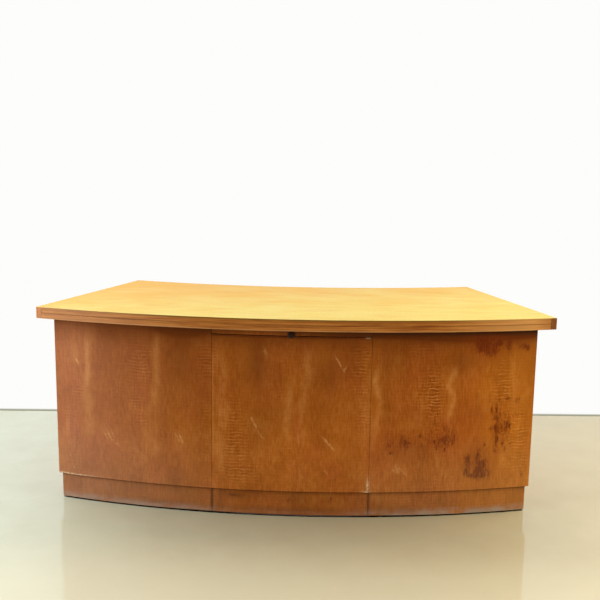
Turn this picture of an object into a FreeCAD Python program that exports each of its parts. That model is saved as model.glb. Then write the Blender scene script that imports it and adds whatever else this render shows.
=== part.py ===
import FreeCAD, Part
import math
import os
from collections import namedtuple

import Sketcher

# A bow-fronted captain's desk: two pedestals and a centre bay under a crescent top.
# Millimetres. The origin is on the floor under the middle of the top, +Z is up,
# the visitor's side faces -Y and the user sits on the +Y side.
# Every curved face is struck from one centre, which lies behind the seated user.
# Each of the top's ends lies on a line through that centre, and so the desk narrows towards the user.

SIZES = (
    ("desk_height", 750, "floor to the face of the top"),
    ("top_front_radius", 3356, "bow of the top's front edge"),
    ("top_length", 1934, "between the top's front corners"),
    ("top_depth", 762, "front edge to rear edge of the top, along a radius"),
    ("upper_board_thickness", 21.5, "upper of the top's two boards"),
    ("lower_board_thickness", 21.5, "lower of the top's two boards"),
    ("end_lipping_width", 24, "solid strip along each end of the top"),
    ("top_arris", 1.0, "chamfer on the top's curved arrises"),
    ("front_overhang", 18.7, "top past the front panels"),
    ("rear_overhang", 28, "top past the drawer fronts"),
    ("end_overhang", 64, "top past the pedestals' outer sides"),
    ("centre_bay_width", 580, "between the two seams of the front"),
    ("seam_gap", 0.8, "between neighbouring front panels"),
    ("panel_thickness", 20, "curved front panels"),
    ("side_thickness", 20, "pedestal sides"),
    ("board_thickness", 18, "pedestal floors and subtops"),
    ("plinth_height", 100, "floor to the underside of the pedestals"),
    ("plinth_recess", 9.5, "plinth behind the face above it"),
    ("plinth_thickness", 18, "plinth boards"),
    ("glide_height", 4, "gap between the plinth and the floor"),
    ("glide_radius", 11, "glide where it meets the plinth"),
    ("glide_foot_radius", 9, "glide where it meets the floor"),
    ("glide_inset", 45, "glide from the end of its plinth board"),
    ("reveal", 2, "gap round the drawer fronts and the door"),
    ("drawer_front_thickness", 20, "drawer fronts and the door"),
    ("upper_front_height", 128, "upper drawer's share of the opening"),
    ("middle_front_height", 188, "middle drawer's share of the opening"),
    ("bearer_thickness", 14, "boards that the drawers run on"),
    ("bearer_setback", 2, "bearer behind the drawer fronts"),
    ("box_clearance", 3, "drawer box to the pedestal side"),
    ("box_head_room", 10, "drawer box to the board above it"),
    ("box_board", 12, "drawer sides and backs"),
    ("drawer_back_space", 45, "drawer box to the back of the front panel"),
    ("bottom_thickness", 6, "drawer bottoms"),
    ("bottom_height", 10, "drawer side below its groove"),
    ("groove_depth", 6, "groove that holds the drawer bottom"),
    ("groove_clearance", 0.2, "drawer bottom in its groove"),
    ("running_gap", 0.3, "drawer or slide above what it runs on"),
    ("guide_gap", 1, "drawer box to its guide batten"),
    ("guide_width", 15, "guide battens"),
    ("guide_height", 20, "guide battens"),
    ("guide_setback", 120, "guide batten behind the drawer front"),
    ("slide_thickness", 19, "pull-out slide"),
    ("slide_depth", 460, "pull-out slide behind its front lip"),
    ("slide_travel", 300, "how far the slide pulls out"),
    ("slide_top_gap", 1, "slide to the underside of the top"),
    ("slide_side_gap", 1, "slide to each pedestal"),
    ("slide_reveal", 2.2, "slide to the centre panel below it"),
    ("runner_width", 22, "slide runner battens"),
    ("runner_height", 26, "slide runner battens"),
    ("runner_length", 560, "slide runner battens"),
    ("stop_half_length", 190, "stop batten under the slide, half its length"),
    ("stop_width", 20, "stop batten, front to back"),
    ("stop_height", 14, "stop batten, up and down"),
    ("stop_gap", 1, "stop batten to the centre panel when the slide is out"),
    ("cleat_size", 24, "corner cleats behind the centre panel"),
    ("shelf_thickness", 18, "cupboard shelf"),
    ("shelf_height", 300, "cupboard floor to the shelf's underside"),
    ("shelf_setback", 35, "shelf behind the door"),
    ("shelf_gap", 1, "shelf to the sides and the front panel"),
    ("shelf_cleat_width", 18, "battens under the shelf"),
    ("shelf_cleat_height", 18, "battens under the shelf"),
    ("door_bevel", 5, "slope of the door's free edge across its thickness"),
    ("door_knob_inset", 40, "door's free edge to its knob"),
    ("knob_radius", 13, "head of a knob"),
    ("knob_neck_radius", 6.5, "neck of a knob"),
    ("knob_neck_length", 6, "face to the flare of the head"),
    ("knob_flare_length", 3, "flare from neck to head"),
    ("knob_rim_length", 3.5, "straight rim of the head"),
    ("knob_crown", 4.5, "dome of the head"),
    ("knob_head_room", 1.5, "slide knob to the underside of the top"),
    ("stud_radius", 2.5, "stud of a knob"),
    ("knob_seat", 0.05, "knob's neck off the curved face"),
    ("stud_clearance", 0.1, "stud in its hole"),
    ("hinge_height", 52, "height of a hinge"),
    ("hinge_inset", 70, "end of the door to the nearer end of a hinge"),
    ("hinge_leaf_width", 17, "knuckle's axis to the edge of a leaf"),
    ("hinge_leaf_thickness", 1.6, "hinge leaves"),
    ("hinge_knuckle_radius", 3.2, "hinge knuckles"),
    ("hinge_pin_radius", 1.6, "hinge pins"),
    ("hinge_pin_clearance", 0.06, "pin in its knuckles"),
    ("hinge_gap", 0.3, "between neighbouring knuckles"),
    ("hinge_seat", 0.1, "leaf off the curved face"),
    ("screw_radius", 2.25, "shank of a fixing screw"),
    ("screw_clearance", 0.15, "shank in its hole"),
    ("screw_bite", 13, "screw in the top"),
    ("screw_head_radius", 4.5, "head of a fixing screw"),
    ("screw_head_height", 3, "head of a fixing screw"),
    ("screw_inset", 55, "fixing screw from the edges of its subtop"),
)

WORKED = (
    (
        "top_half_angle",
        "=asin(sizes.top_length / 2 / sizes.top_front_radius) / 1deg",
        "from the middle of the bow to an end of the top, degrees",
    ),
    ("top_rear_radius", "=sizes.top_front_radius - sizes.top_depth", "hollow of the rear edge"),
    (
        "arc_centre_y",
        "=(sizes.top_front_radius + top_rear_radius * cos(top_half_angle)) / 2",
        "centre of every arc, which puts the origin in the middle of the top",
    ),
    ("body_front_radius", "=sizes.top_front_radius - sizes.front_overhang", "face of the front panels"),
    ("panel_back_radius", "=body_front_radius - sizes.panel_thickness", "back of the front panels"),
    ("body_rear_radius", "=top_rear_radius + sizes.rear_overhang", "face of the drawer fronts"),
    ("front_back_radius", "=body_rear_radius + sizes.drawer_front_thickness", "back of the drawer fronts"),
    ("plinth_front_radius", "=body_front_radius - sizes.plinth_recess", "face of the front plinth"),
    ("plinth_front_back", "=plinth_front_radius - sizes.plinth_thickness", "back of the front plinth"),
    ("plinth_rear_radius", "=body_rear_radius + sizes.plinth_recess", "face of the rear plinth"),
    ("plinth_rear_back", "=plinth_rear_radius + sizes.plinth_thickness", "back of the rear plinth"),
    ("plinth_end_inset", "=sizes.end_overhang + sizes.plinth_recess", "top's end to the outer plinth"),
    ("side_back_inset", "=sizes.end_overhang + sizes.side_thickness", "top's end to an outer side's back"),
    ("top_joint", "=sizes.desk_height - sizes.upper_board_thickness", "joint of the top's two boards"),
    ("top_underside", "=top_joint - sizes.lower_board_thickness", "underside of the top"),
    ("floor_top", "=sizes.plinth_height + sizes.board_thickness", "face of a pedestal floor"),
    ("subtop_underside", "=top_underside - sizes.board_thickness", "underside of a subtop"),
    ("pedestal_inner_x", "=(sizes.centre_bay_width + sizes.seam_gap) / 2", "pedestal's kneehole face"),
    ("bay_panel_half", "=(sizes.centre_bay_width - sizes.seam_gap) / 2", "half the centre panel"),
    ("opening_inner_x", "=pedestal_inner_x + sizes.side_thickness", "kneehole side of an opening"),
    (
        "opening_outer_x",
        "=sqrt(body_rear_radius^2 - side_back_inset^2) * sin(top_half_angle)"
        " - side_back_inset * cos(top_half_angle)",
        "outer side of an opening, where it is narrowest",
    ),
    ("front_inner_x", "=opening_inner_x + sizes.reveal", "kneehole edge of a drawer front"),
    ("front_outer_x", "=opening_outer_x - sizes.reveal", "outer edge of a drawer front"),
    ("front_middle_x", "=(front_inner_x + front_outer_x) / 2", "middle of a drawer front"),
    ("box_inner_x", "=opening_inner_x + sizes.box_clearance", "kneehole side of a drawer box"),
    ("box_outer_x", "=opening_outer_x - sizes.box_clearance", "outer side of a drawer box"),
    (
        "box_back_y",
        "=sqrt(panel_back_radius^2 - box_outer_x^2) - sizes.drawer_back_space",
        "back of a drawer box, from the arcs' centre",
    ),
    ("guide_inner_x", "=box_outer_x + sizes.guide_gap", "guide batten beside a drawer box"),
    (
        "guide_rear_y",
        "=sqrt(front_back_radius^2 - box_outer_x^2) + sizes.guide_setback",
        "user's end of a guide batten",
    ),
    ("upper_division", "=subtop_underside - sizes.upper_front_height", "below the upper drawer"),
    ("lower_division", "=upper_division - sizes.middle_front_height", "below the middle drawer"),
    ("slide_top", "=top_underside - sizes.slide_top_gap", "face of the slide"),
    ("slide_underside", "=slide_top - sizes.slide_thickness", "underside of the slide"),
    ("slide_half", "=pedestal_inner_x - sizes.slide_side_gap", "half the slide's width"),
    ("slide_back_y", "=panel_back_radius - sizes.slide_depth", "user's end of the slide"),
    ("runner_top", "=slide_underside - sizes.running_gap", "top of the slide runners"),
    ("runner_low", "=runner_top - sizes.runner_height", "underside of the slide runners"),
    ("centre_panel_top", "=slide_underside - sizes.slide_reveal", "top of the centre panel"),
    (
        "stop_front_y",
        "=sqrt(panel_back_radius^2 - sizes.stop_half_length^2) - sizes.slide_travel - sizes.stop_gap",
        "visitor's face of the stop batten",
    ),
    (
        "slide_knob_z",
        "=top_underside - sizes.knob_radius - sizes.knob_head_room",
        "height of the slide's knob",
    ),
    ("shelf_underside", "=floor_top + sizes.shelf_height", "underside of the shelf"),
    ("hinge_x", "=opening_outer_x - sizes.reveal / 2", "hinge over the gap beside the door"),
    ("hinge_angle", "=asin(hinge_x / body_rear_radius) / 1deg", "turn of the door's face at the hinge"),
    ("hinge_axis_y", "=sizes.hinge_seat + sizes.hinge_knuckle_radius", "hinge axis off the face"),
    ("hinge_bore", "=sizes.hinge_pin_radius + sizes.hinge_pin_clearance", "bore of a knuckle"),
    ("door_low", "=floor_top + sizes.reveal", "lower edge of the door"),
    ("door_high", "=subtop_underside - sizes.reveal", "upper edge of the door"),
)

LEFT, RIGHT = -1, 1
QUARTER_TURN = 90
OUTWARD_TURN = 180
KNUCKLES = 3
PLAN_EDGES = ("front", "right", "rear", "left")

doc = FreeCAD.newDocument("captains_desk")
nodes = []


def fill_sheet(name, rows):
    """A sheet with one named cell to a row."""
    sheet = doc.addObject("Spreadsheet::Sheet", name)
    for row, (alias, content, meaning) in enumerate(rows, start=1):
        sheet.set(f"A{row}", meaning)
        sheet.set(f"B{row}", str(content))
        sheet.setAlias(f"B{row}", alias)
    doc.recompute()
    return sheet


fill_sheet("sizes", SIZES)
worked = fill_sheet("worked", WORKED)


def number(text):
    """The value of an expression on the sheets' names."""
    return float(worked.evalExpression(text))


def keep(piece):
    """Marks a finished piece as one that the desk is made of."""
    nodes.append(piece)
    return piece


# Plan outlines.
# A board is drawn in plan about the arcs' centre, with a front and a rear edge across the desk
# and a left and a right edge that run from the user's side to the visitor's side.

Edge = namedtuple("Edge", "kind side size other", defaults=("", ""))


def arc(radius):
    """A front or rear edge struck from the arcs' centre."""
    return Edge("arc", 0, radius)


def straight(distance):
    """A front or rear edge square to the desk's middle line, at a distance from the arcs' centre."""
    return Edge("straight", 0, distance)


def fore_and_aft(side, x):
    """A left or right edge parallel to the desk's middle line."""
    return Edge("fore_and_aft", side, x)


def end_line(side, inset):
    """A left or right edge parallel to an end of the top, that far inside it."""
    return Edge("end_line", side, inset)


def slanted(side, rear_x, front_x):
    """A left or right edge that runs from one x at the rear to another at the front."""
    return Edge("slanted", side, rear_x, front_x)


def corner(across, along, at_front):
    """The point where a front or rear edge meets a left or right one, from the arcs' centre."""
    reach = number(across.size)
    if along.kind == "end_line":
        inset = number(along.size)
        sine = math.sin(math.radians(number("worked.top_half_angle")))
        cosine = math.cos(math.radians(number("worked.top_half_angle")))
        if across.kind == "arc":
            run = math.sqrt(reach**2 - inset**2)
        else:
            run = (reach - inset * sine) / cosine
        return along.side * (run * sine - inset * cosine), -(run * cosine + inset * sine)
    x = number(along.other if along.kind == "slanted" and at_front else along.size)
    y = math.sqrt(reach**2 - x**2) if across.kind == "arc" else reach
    return along.side * x, -y


def set_size(sketch, name, constraint, text):
    """Adds a constraint and binds it to an expression."""
    index = sketch.addConstraint(constraint)
    sketch.renameConstraint(index, name)
    sketch.setExpression(f"Constraints.{name}", text)


def set_x(sketch, name, geometry, end, side, text):
    """Holds a point at a distance to one side of the sketch's origin."""
    points = (-1, 1, geometry, end) if side > 0 else (geometry, end, -1, 1)
    set_size(sketch, name, Sketcher.Constraint("DistanceX", *points, number(text)), text)


def new_sketch(body, name, level):
    """A level sketch in a body, whose origin is the arcs' centre."""
    sketch = body.newObject("Sketcher::SketchObject", name)
    plane = next(p for p in body.Origin.OriginFeatures if p.Role == "XY_Plane")
    sketch.AttachmentSupport = (plane, "")
    sketch.MapMode = "FlatFace"
    sketch.setExpression("AttachmentOffset.Base.y", "worked.arc_centre_y")
    sketch.setExpression("AttachmentOffset.Base.z", level)
    return sketch


def draw_across(sketch, name, edge, start, end):
    """A front or rear edge, from its left corner to its right one."""
    if edge.kind == "arc":
        circle = Part.Circle(FreeCAD.Vector(), FreeCAD.Vector(0, 0, 1), number(edge.size))
        angles = (math.atan2(start[1], start[0]), math.atan2(end[1], end[0]))
        line = sketch.addGeometry(Part.ArcOfCircle(circle, *angles), False)
        sketch.addConstraint(Sketcher.Constraint("Coincident", line, 3, -1, 1))
        radius = Sketcher.Constraint("Radius", line, number(edge.size))
        set_size(sketch, f"{name}_radius", radius, edge.size)
        return line
    line = sketch.addGeometry(Part.LineSegment(FreeCAD.Vector(*start), FreeCAD.Vector(*end)), False)
    sketch.addConstraint(Sketcher.Constraint("Horizontal", line))
    distance = Sketcher.Constraint("DistanceY", line, 1, -1, 1, number(edge.size))
    set_size(sketch, f"{name}_distance", distance, edge.size)
    return line


def draw_along(sketch, name, edge, rear, front):
    """A left or right edge, from its rear corner to its front one."""
    line = sketch.addGeometry(Part.LineSegment(FreeCAD.Vector(*rear), FreeCAD.Vector(*front)), False)
    if edge.kind == "end_line":
        turn = f"{edge.side} * worked.top_half_angle - {QUARTER_TURN}"
        angle = Sketcher.Constraint("Angle", line, math.radians(number(turn)))
        set_size(sketch, f"{name}_angle", angle, turn)
        if number(edge.size):
            inset = Sketcher.Constraint("Distance", -1, 1, line, number(edge.size))
            set_size(sketch, f"{name}_inset", inset, edge.size)
        else:
            sketch.addConstraint(Sketcher.Constraint("PointOnObject", -1, 1, line))
    elif edge.kind == "slanted":
        set_x(sketch, f"{name}_rear_x", line, 1, edge.side, edge.size)
        set_x(sketch, f"{name}_front_x", line, 2, edge.side, edge.other)
    else:
        sketch.addConstraint(Sketcher.Constraint("Vertical", line))
        set_x(sketch, f"{name}_x", line, 1, edge.side, edge.size)
    return line


def draw_plan(body, name, plan, level):
    """A closed plan outline at a level. plan maps front, right, rear and left to edges."""
    front, right, rear, left = (plan[edge] for edge in PLAN_EDGES)
    front_left, front_right = corner(front, left, True), corner(front, right, True)
    rear_left, rear_right = corner(rear, left, False), corner(rear, right, False)
    sketch = new_sketch(body, name, level)
    front_line = draw_across(sketch, "front", front, front_left, front_right)
    rear_line = draw_across(sketch, "rear", rear, rear_left, rear_right)
    left_line = draw_along(sketch, "left", left, rear_left, front_left)
    right_line = draw_along(sketch, "right", right, rear_right, front_right)
    meetings = (
        (front_line, 1, left_line, 2),
        (front_line, 2, right_line, 2),
        (rear_line, 1, left_line, 1),
        (rear_line, 2, right_line, 1),
    )
    for meeting in meetings:
        sketch.addConstraint(Sketcher.Constraint("Coincident", *meeting))
    return sketch


def plan_of(front, rear, side, inner, outer):
    """The plan of a piece on one side of the desk, between an inner and an outer edge."""
    left, right = (inner, outer) if side == RIGHT else (outer, inner)
    return {"front": front, "right": right, "rear": rear, "left": left}


def across_middle(front, rear, half):
    """The plan of a piece across the desk's middle line."""
    sides = {"right": fore_and_aft(RIGHT, half), "left": fore_and_aft(LEFT, half)}
    return {"front": front, "rear": rear, **sides}


# Features.


def board(label, plan, low, high):
    """A body of a plan outline raised from one level to another."""
    body = doc.addObject("PartDesign::Body", label)
    body.Label = label
    sketch = draw_plan(body, f"{label}_plan", plan, low)
    pad = body.newObject("PartDesign::Pad", f"{label}_board")
    pad.Profile = sketch
    pad.setExpression("Length", f"({high}) - ({low})")
    doc.recompute()
    return body


def cut_slot(body, name, plan, low, high):
    """Takes a plan outline out of a body between two levels."""
    before = body.Shape.Volume
    sketch = draw_plan(body, f"{name}_plan", plan, high)
    pocket = body.newObject("PartDesign::Pocket", name)
    pocket.Profile = sketch
    pocket.setExpression("Length", f"({high}) - ({low})")
    doc.recompute()
    if body.Shape.Volume >= before:
        raise ValueError(f"{name} cuts nothing")


def drill_upright(body, name, points, radius, low, high):
    """Drills upright holes at points given from the arcs' centre."""
    before = body.Shape.Volume
    sketch = new_sketch(body, f"{name}_centres", high)
    for count, (side, x, y) in enumerate(points):
        centre = FreeCAD.Vector(side * number(x), -number(y))
        up = FreeCAD.Vector(0, 0, 1)
        circle = sketch.addGeometry(Part.Circle(centre, up, number(radius)), False)
        set_x(sketch, f"x_{count}", circle, 3, side, x)
        depth = Sketcher.Constraint("DistanceY", circle, 3, -1, 1, number(y))
        set_size(sketch, f"y_{count}", depth, y)
        set_size(sketch, f"radius_{count}", Sketcher.Constraint("Radius", circle, number(radius)), radius)
    pocket = body.newObject("PartDesign::Pocket", name)
    pocket.Profile = sketch
    pocket.setExpression("Length", f"({high}) - ({low})")
    doc.recompute()
    if body.Shape.Volume >= before:
        raise ValueError(f"{name} drills nothing")


def ease_arrises(body, name, places, size):
    """Chamfers the curved edges of a body that lie at given radii and levels."""
    base = body.Tip
    wanted = [(number(radius), number(level)) for radius, level in places]
    edges = []
    for index, edge in enumerate(base.Shape.Edges, start=1):
        if not isinstance(edge.Curve, Part.Circle):
            continue
        found = (edge.Curve.Radius, edge.Curve.Center.z)
        if any(math.dist(found, spot) < number(size) / 2 for spot in wanted):
            edges.append(f"Edge{index}")
    if len(edges) != len(wanted):
        raise ValueError(f"{name} found {len(edges)} edges and wants {len(wanted)}")
    chamfer = body.newObject("PartDesign::Chamfer", name)
    chamfer.Base = (base, edges)
    chamfer.setExpression("Size", size)
    doc.recompute()


# Turned knobs, and the holes that their studs fit in.
# Both are drawn with the knob's axis on the sketch's Y axis,
# and with the face that the knob stands on at its X axis.


def face_frame(thing, path, radius, angle, height, turn):
    """Puts a thing on a curved face at an angle round the arcs' centre, its Y axis out of the face."""
    thing.setExpression(f"{path}.Base.x", f"{radius} * sin({angle})")
    thing.setExpression(f"{path}.Base.y", f"worked.arc_centre_y - {radius} * cos({angle})")
    thing.setExpression(f"{path}.Base.z", height)
    thing.setExpression(f"{path}.Rotation.Angle", f"{angle} + {turn}")


def origin_sketch(body, name):
    """A sketch on a body's own XY plane."""
    sketch = body.newObject("Sketcher::SketchObject", name)
    plane = next(p for p in body.Origin.OriginFeatures if p.Role == "XY_Plane")
    sketch.AttachmentSupport = (plane, "")
    sketch.MapMode = "FlatFace"
    return sketch


def hold_point(sketch, name, geometry, end, x, y):
    """Holds the end of a line at (x, y) from the sketch's origin. An empty x or y is on that axis."""
    if x:
        set_x(sketch, f"{name}_x", geometry, end, RIGHT, x)
    else:
        sketch.addConstraint(Sketcher.Constraint("PointOnObject", geometry, end, -2))
    if not y:
        sketch.addConstraint(Sketcher.Constraint("PointOnObject", geometry, end, -1))
        return
    height = number(y)
    points = (-1, 1, geometry, end) if height > 0 else (geometry, end, -1, 1)
    text = y if height > 0 else f"-({y})"
    set_size(sketch, f"{name}_y", Sketcher.Constraint("DistanceY", *points, abs(height)), text)


def dome(start, end):
    """The arc about the Y axis from a point beside it to a point on it."""
    rise = end.y - start.y
    radius = (rise**2 + start.x**2) / (2 * rise)
    circle = Part.Circle(FreeCAD.Vector(0, end.y - radius), FreeCAD.Vector(0, 0, 1), radius)
    return Part.ArcOfCircle(circle, math.atan2(radius - rise, start.x), math.radians(QUARTER_TURN))


def draw_half_section(sketch, points, domed=False):
    """Joins points in order and closes them along the Y axis. The last of a domed set tops a dome."""
    spots = [FreeCAD.Vector(number(x) if x else 0, number(y) if y else 0) for x, y in points]
    shapes = [Part.LineSegment(*pair) for pair in zip(spots, spots[1:] + spots[:1])]
    if domed:
        shapes[-2] = dome(*spots[-2:])
    lines = [sketch.addGeometry(shape, False) for shape in shapes]
    for line, after in zip(lines, lines[1:] + lines[:1]):
        sketch.addConstraint(Sketcher.Constraint("Coincident", line, 2, after, 1))
    if domed:
        sketch.addConstraint(Sketcher.Constraint("PointOnObject", lines[-2], 3, -2))
    for count, (line, (x, y)) in enumerate(zip(lines, points)):
        hold_point(sketch, f"point_{count}", line, 1, x, y)


def turned_knob(label, thickness, radius, angle, height, turn):
    """A mushroom knob standing on a curved piece, with a stud as long as the piece is thick."""
    body = doc.addObject("PartDesign::Body", label)
    body.Label = label
    seat = "sizes.knob_seat"
    flare_start = "sizes.knob_neck_length"
    rim_start = f"{flare_start} + sizes.knob_flare_length"
    rim_end = f"{rim_start} + sizes.knob_rim_length"
    crown = f"{rim_end} + sizes.knob_crown"
    points = (
        ("", f"-{thickness}"),
        ("sizes.stud_radius", f"-{thickness}"),
        ("sizes.stud_radius", seat),
        ("sizes.knob_neck_radius", seat),
        ("sizes.knob_neck_radius", flare_start),
        ("sizes.knob_radius", rim_start),
        ("sizes.knob_radius", rim_end),
        ("", crown),
    )
    sketch = origin_sketch(body, f"{label}_section")
    draw_half_section(sketch, points, domed=True)
    turning = body.newObject("PartDesign::Revolution", f"{label}_turning")
    turning.Profile = sketch
    turning.ReferenceAxis = (sketch, ["V_Axis"])
    face_frame(body, "Placement", radius, angle, height, turn)
    doc.recompute()
    return keep(body)


def drill_for_knob(body, name, thickness, radius, angle, height, turn):
    """Drills the hole for a knob's stud, from well outside a curved piece's face to past its back."""
    before = body.Shape.Volume
    bore = "sizes.stud_radius + sizes.stud_clearance"
    reach = f"2 * {thickness}"
    sketch = origin_sketch(body, f"{name}_section")
    corners = (("", f"-({reach})"), (bore, f"-({reach})"), (bore, reach), ("", reach))
    draw_half_section(sketch, corners)
    face_frame(sketch, "AttachmentOffset", radius, angle, height, turn)
    hole = body.newObject("PartDesign::Groove", name)
    hole.Profile = sketch
    hole.ReferenceAxis = (sketch, ["V_Axis"])
    doc.recompute()
    if body.Shape.Volume >= before:
        raise ValueError(f"{name} drills nothing")


# Plain solids, for hinges, screws and glides.


def place(thing, x, y, z):
    """Binds a thing's place."""
    for axis, text in zip("xyz", (x, y, z)):
        if text:
            thing.setExpression(f"Placement.Base.{axis}", text)
    return thing


def box(name, corner_at, lengths):
    """A box from its lowest corner."""
    thing = doc.addObject("Part::Box", name)
    for side, text in zip(("Length", "Width", "Height"), lengths):
        thing.setExpression(side, text)
    return place(thing, *corner_at)


def rod(name, foot, radius, height):
    """An upright cylinder from the middle of its foot."""
    thing = doc.addObject("Part::Cylinder", name)
    thing.setExpression("Radius", radius)
    thing.setExpression("Height", height)
    return place(thing, *foot)


def taper(name, foot, low_radius, high_radius, height):
    """An upright cone's frustum from the middle of its foot."""
    thing = doc.addObject("Part::Cone", name)
    thing.setExpression("Radius1", low_radius)
    thing.setExpression("Radius2", high_radius)
    thing.setExpression("Height", height)
    return place(thing, *foot)


def joined(name, pieces):
    """Pieces made one solid."""
    thing = doc.addObject("Part::MultiFuse", name)
    thing.Shapes = pieces
    thing.Refine = True
    return thing


def less(name, base, tool):
    """A piece with another taken out of it."""
    thing = doc.addObject("Part::Cut", name)
    thing.Base = base
    thing.Tool = tool
    return thing


def group(label, pieces):
    """Like pieces that share one node as separate solids."""
    thing = doc.addObject("Part::Compound", label)
    thing.Label = label
    thing.Links = pieces
    doc.recompute()
    return keep(thing)


def at_x(radius, side, x):
    """Side, x and distance of the point of an arc at an x, from the arcs' centre."""
    return side, x, f"sqrt(({radius})^2 - ({x})^2)"


def at_inset(radius, side, inset):
    """Side, x and distance of the point of an arc that lies that far inside an end of the top."""
    run = f"sqrt(({radius})^2 - ({inset})^2)"
    x = f"{run} * sin(worked.top_half_angle) - ({inset}) * cos(worked.top_half_angle)"
    distance = f"{run} * cos(worked.top_half_angle) + ({inset}) * sin(worked.top_half_angle)"
    return side, x, distance


def upright_foot(point, level):
    """A point from the arcs' centre as x, y and z of the desk."""
    side, x, distance = point
    return f"{side} * ({x})", f"worked.arc_centre_y - ({distance})", level


# The top: two boards, one on the other, between solid end lippings.


def top_screw_points(side):
    """Where the screws from a pedestal's subtop go up into the top."""
    front = "worked.panel_back_radius - sizes.screw_inset"
    rear = "worked.body_rear_radius + sizes.screw_inset"
    inner = "worked.opening_inner_x + sizes.screw_inset"
    outer = "worked.side_back_inset + sizes.screw_inset"
    inner_points = [at_x(front, side, inner), at_x(rear, side, inner)]
    return inner_points + [at_inset(front, side, outer), at_inset(rear, side, outer)]


def make_top():
    """The two boards of the top and its end lippings."""
    front, rear = arc("sizes.top_front_radius"), arc("worked.top_rear_radius")
    lipping = "sizes.end_lipping_width"
    plan = plan_of(front, rear, RIGHT, end_line(LEFT, lipping), end_line(RIGHT, lipping))
    radii = ("sizes.top_front_radius", "worked.top_rear_radius")
    upper = board("top_upper_board", plan, "worked.top_joint", "sizes.desk_height")
    upper_levels = ("worked.top_joint", "sizes.desk_height")
    upper_places = [(radius, level) for radius in radii for level in upper_levels]
    ease_arrises(upper, "upper_arrises", upper_places, "sizes.top_arris")
    lower = board("top_lower_board", plan, "worked.top_underside", "worked.top_joint")
    lower_levels = ("worked.top_underside", "worked.top_joint")
    lower_places = [(radius, level) for radius in radii for level in lower_levels]
    ease_arrises(lower, "lower_arrises", lower_places, "sizes.top_arris")
    pilot = "sizes.screw_radius + sizes.screw_clearance"
    pilot_end = "worked.top_underside + sizes.screw_bite + sizes.screw_clearance"
    points = top_screw_points(LEFT) + top_screw_points(RIGHT)
    drill_upright(lower, "pilot_holes", points, pilot, "worked.top_underside", pilot_end)
    keep(upper)
    keep(lower)
    for side, word in ((LEFT, "left"), (RIGHT, "right")):
        strip = plan_of(front, rear, side, end_line(side, lipping), end_line(side, "0"))
        label = f"top_{word}_end_lipping"
        keep(board(label, strip, "worked.top_underside", "sizes.desk_height"))


# A pedestal's carcass and plinth.


def make_carcass(side, word):
    """The curved front panel, two sides, floor and subtop of a pedestal."""
    low, high = "sizes.plinth_height", "worked.top_underside"
    front, back = arc("worked.body_front_radius"), arc("worked.panel_back_radius")
    rear = arc("worked.body_rear_radius")
    inner = fore_and_aft(side, "worked.pedestal_inner_x")
    inner_back = fore_and_aft(side, "worked.opening_inner_x")
    outer = end_line(side, "sizes.end_overhang")
    outer_back = end_line(side, "worked.side_back_inset")
    keep(board(f"{word}_front_panel", plan_of(front, back, side, inner, outer), low, high))
    keep(board(f"{word}_outer_side", plan_of(back, rear, side, outer_back, outer), low, high))
    keep(board(f"{word}_inner_side", plan_of(back, rear, side, inner, inner_back), low, high))
    inside = plan_of(back, rear, side, inner_back, outer_back)
    keep(board(f"{word}_floor", inside, low, "worked.floor_top"))
    subtop = keep(board(f"{word}_subtop", inside, "worked.subtop_underside", high))
    hole = "sizes.screw_radius + sizes.screw_clearance"
    points = top_screw_points(side)
    drill_upright(subtop, f"{word}_screw_holes", points, hole, "worked.subtop_underside", high)


def make_plinth(side, word):
    """The four boards of the plinth under a pedestal."""
    low, high = "sizes.glide_height", "sizes.plinth_height"
    front, front_back = arc("worked.plinth_front_radius"), arc("worked.plinth_front_back")
    rear, rear_back = arc("worked.plinth_rear_radius"), arc("worked.plinth_rear_back")
    inner = fore_and_aft(side, "worked.pedestal_inner_x")
    inner_back = fore_and_aft(side, "worked.pedestal_inner_x + sizes.plinth_thickness")
    outer = end_line(side, "worked.plinth_end_inset")
    outer_back = end_line(side, "worked.plinth_end_inset + sizes.plinth_thickness")
    keep(board(f"{word}_plinth_front", plan_of(front, front_back, side, inner, outer), low, high))
    keep(board(f"{word}_plinth_rear", plan_of(rear_back, rear, side, inner, outer), low, high))
    outer_plan = plan_of(front_back, rear_back, side, outer_back, outer)
    keep(board(f"{word}_plinth_outer", outer_plan, low, high))
    inner_plan = plan_of(front_back, rear_back, side, inner, inner_back)
    keep(board(f"{word}_plinth_inner", inner_plan, low, high))


# The centre bay: panel, plinth, cleats and the runners of the pull-out slide.


def make_centre():
    """The fixed pieces between the pedestals."""
    front, back = arc("worked.body_front_radius"), arc("worked.panel_back_radius")
    panel = across_middle(front, back, "worked.bay_panel_half")
    keep(board("centre_front_panel", panel, "sizes.plinth_height", "worked.centre_panel_top"))
    plinth_front, plinth_back = arc("worked.plinth_front_radius"), arc("worked.plinth_front_back")
    plinth = across_middle(plinth_front, plinth_back, "worked.bay_panel_half")
    keep(board("centre_plinth", plinth, "sizes.glide_height", "sizes.plinth_height"))
    cleats = []
    runners = []
    cleat_back = arc("worked.panel_back_radius - sizes.cleat_size")
    runner_end = straight("worked.panel_back_radius - sizes.runner_length")
    for side, word in ((LEFT, "left"), (RIGHT, "right")):
        outer = fore_and_aft(side, "worked.pedestal_inner_x")
        cleat_inner = fore_and_aft(side, "worked.pedestal_inner_x - sizes.cleat_size")
        cleat = plan_of(back, cleat_back, side, cleat_inner, outer)
        cleats.append(board(f"{word}_cleat", cleat, "sizes.plinth_height", "worked.runner_low"))
        runner_inner = fore_and_aft(side, "worked.pedestal_inner_x - sizes.runner_width")
        runner = plan_of(back, runner_end, side, runner_inner, outer)
        runners.append(board(f"{word}_runner", runner, "worked.runner_low", "worked.runner_top"))
    group("centre_cleats", cleats)
    group("slide_runners", runners)


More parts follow.
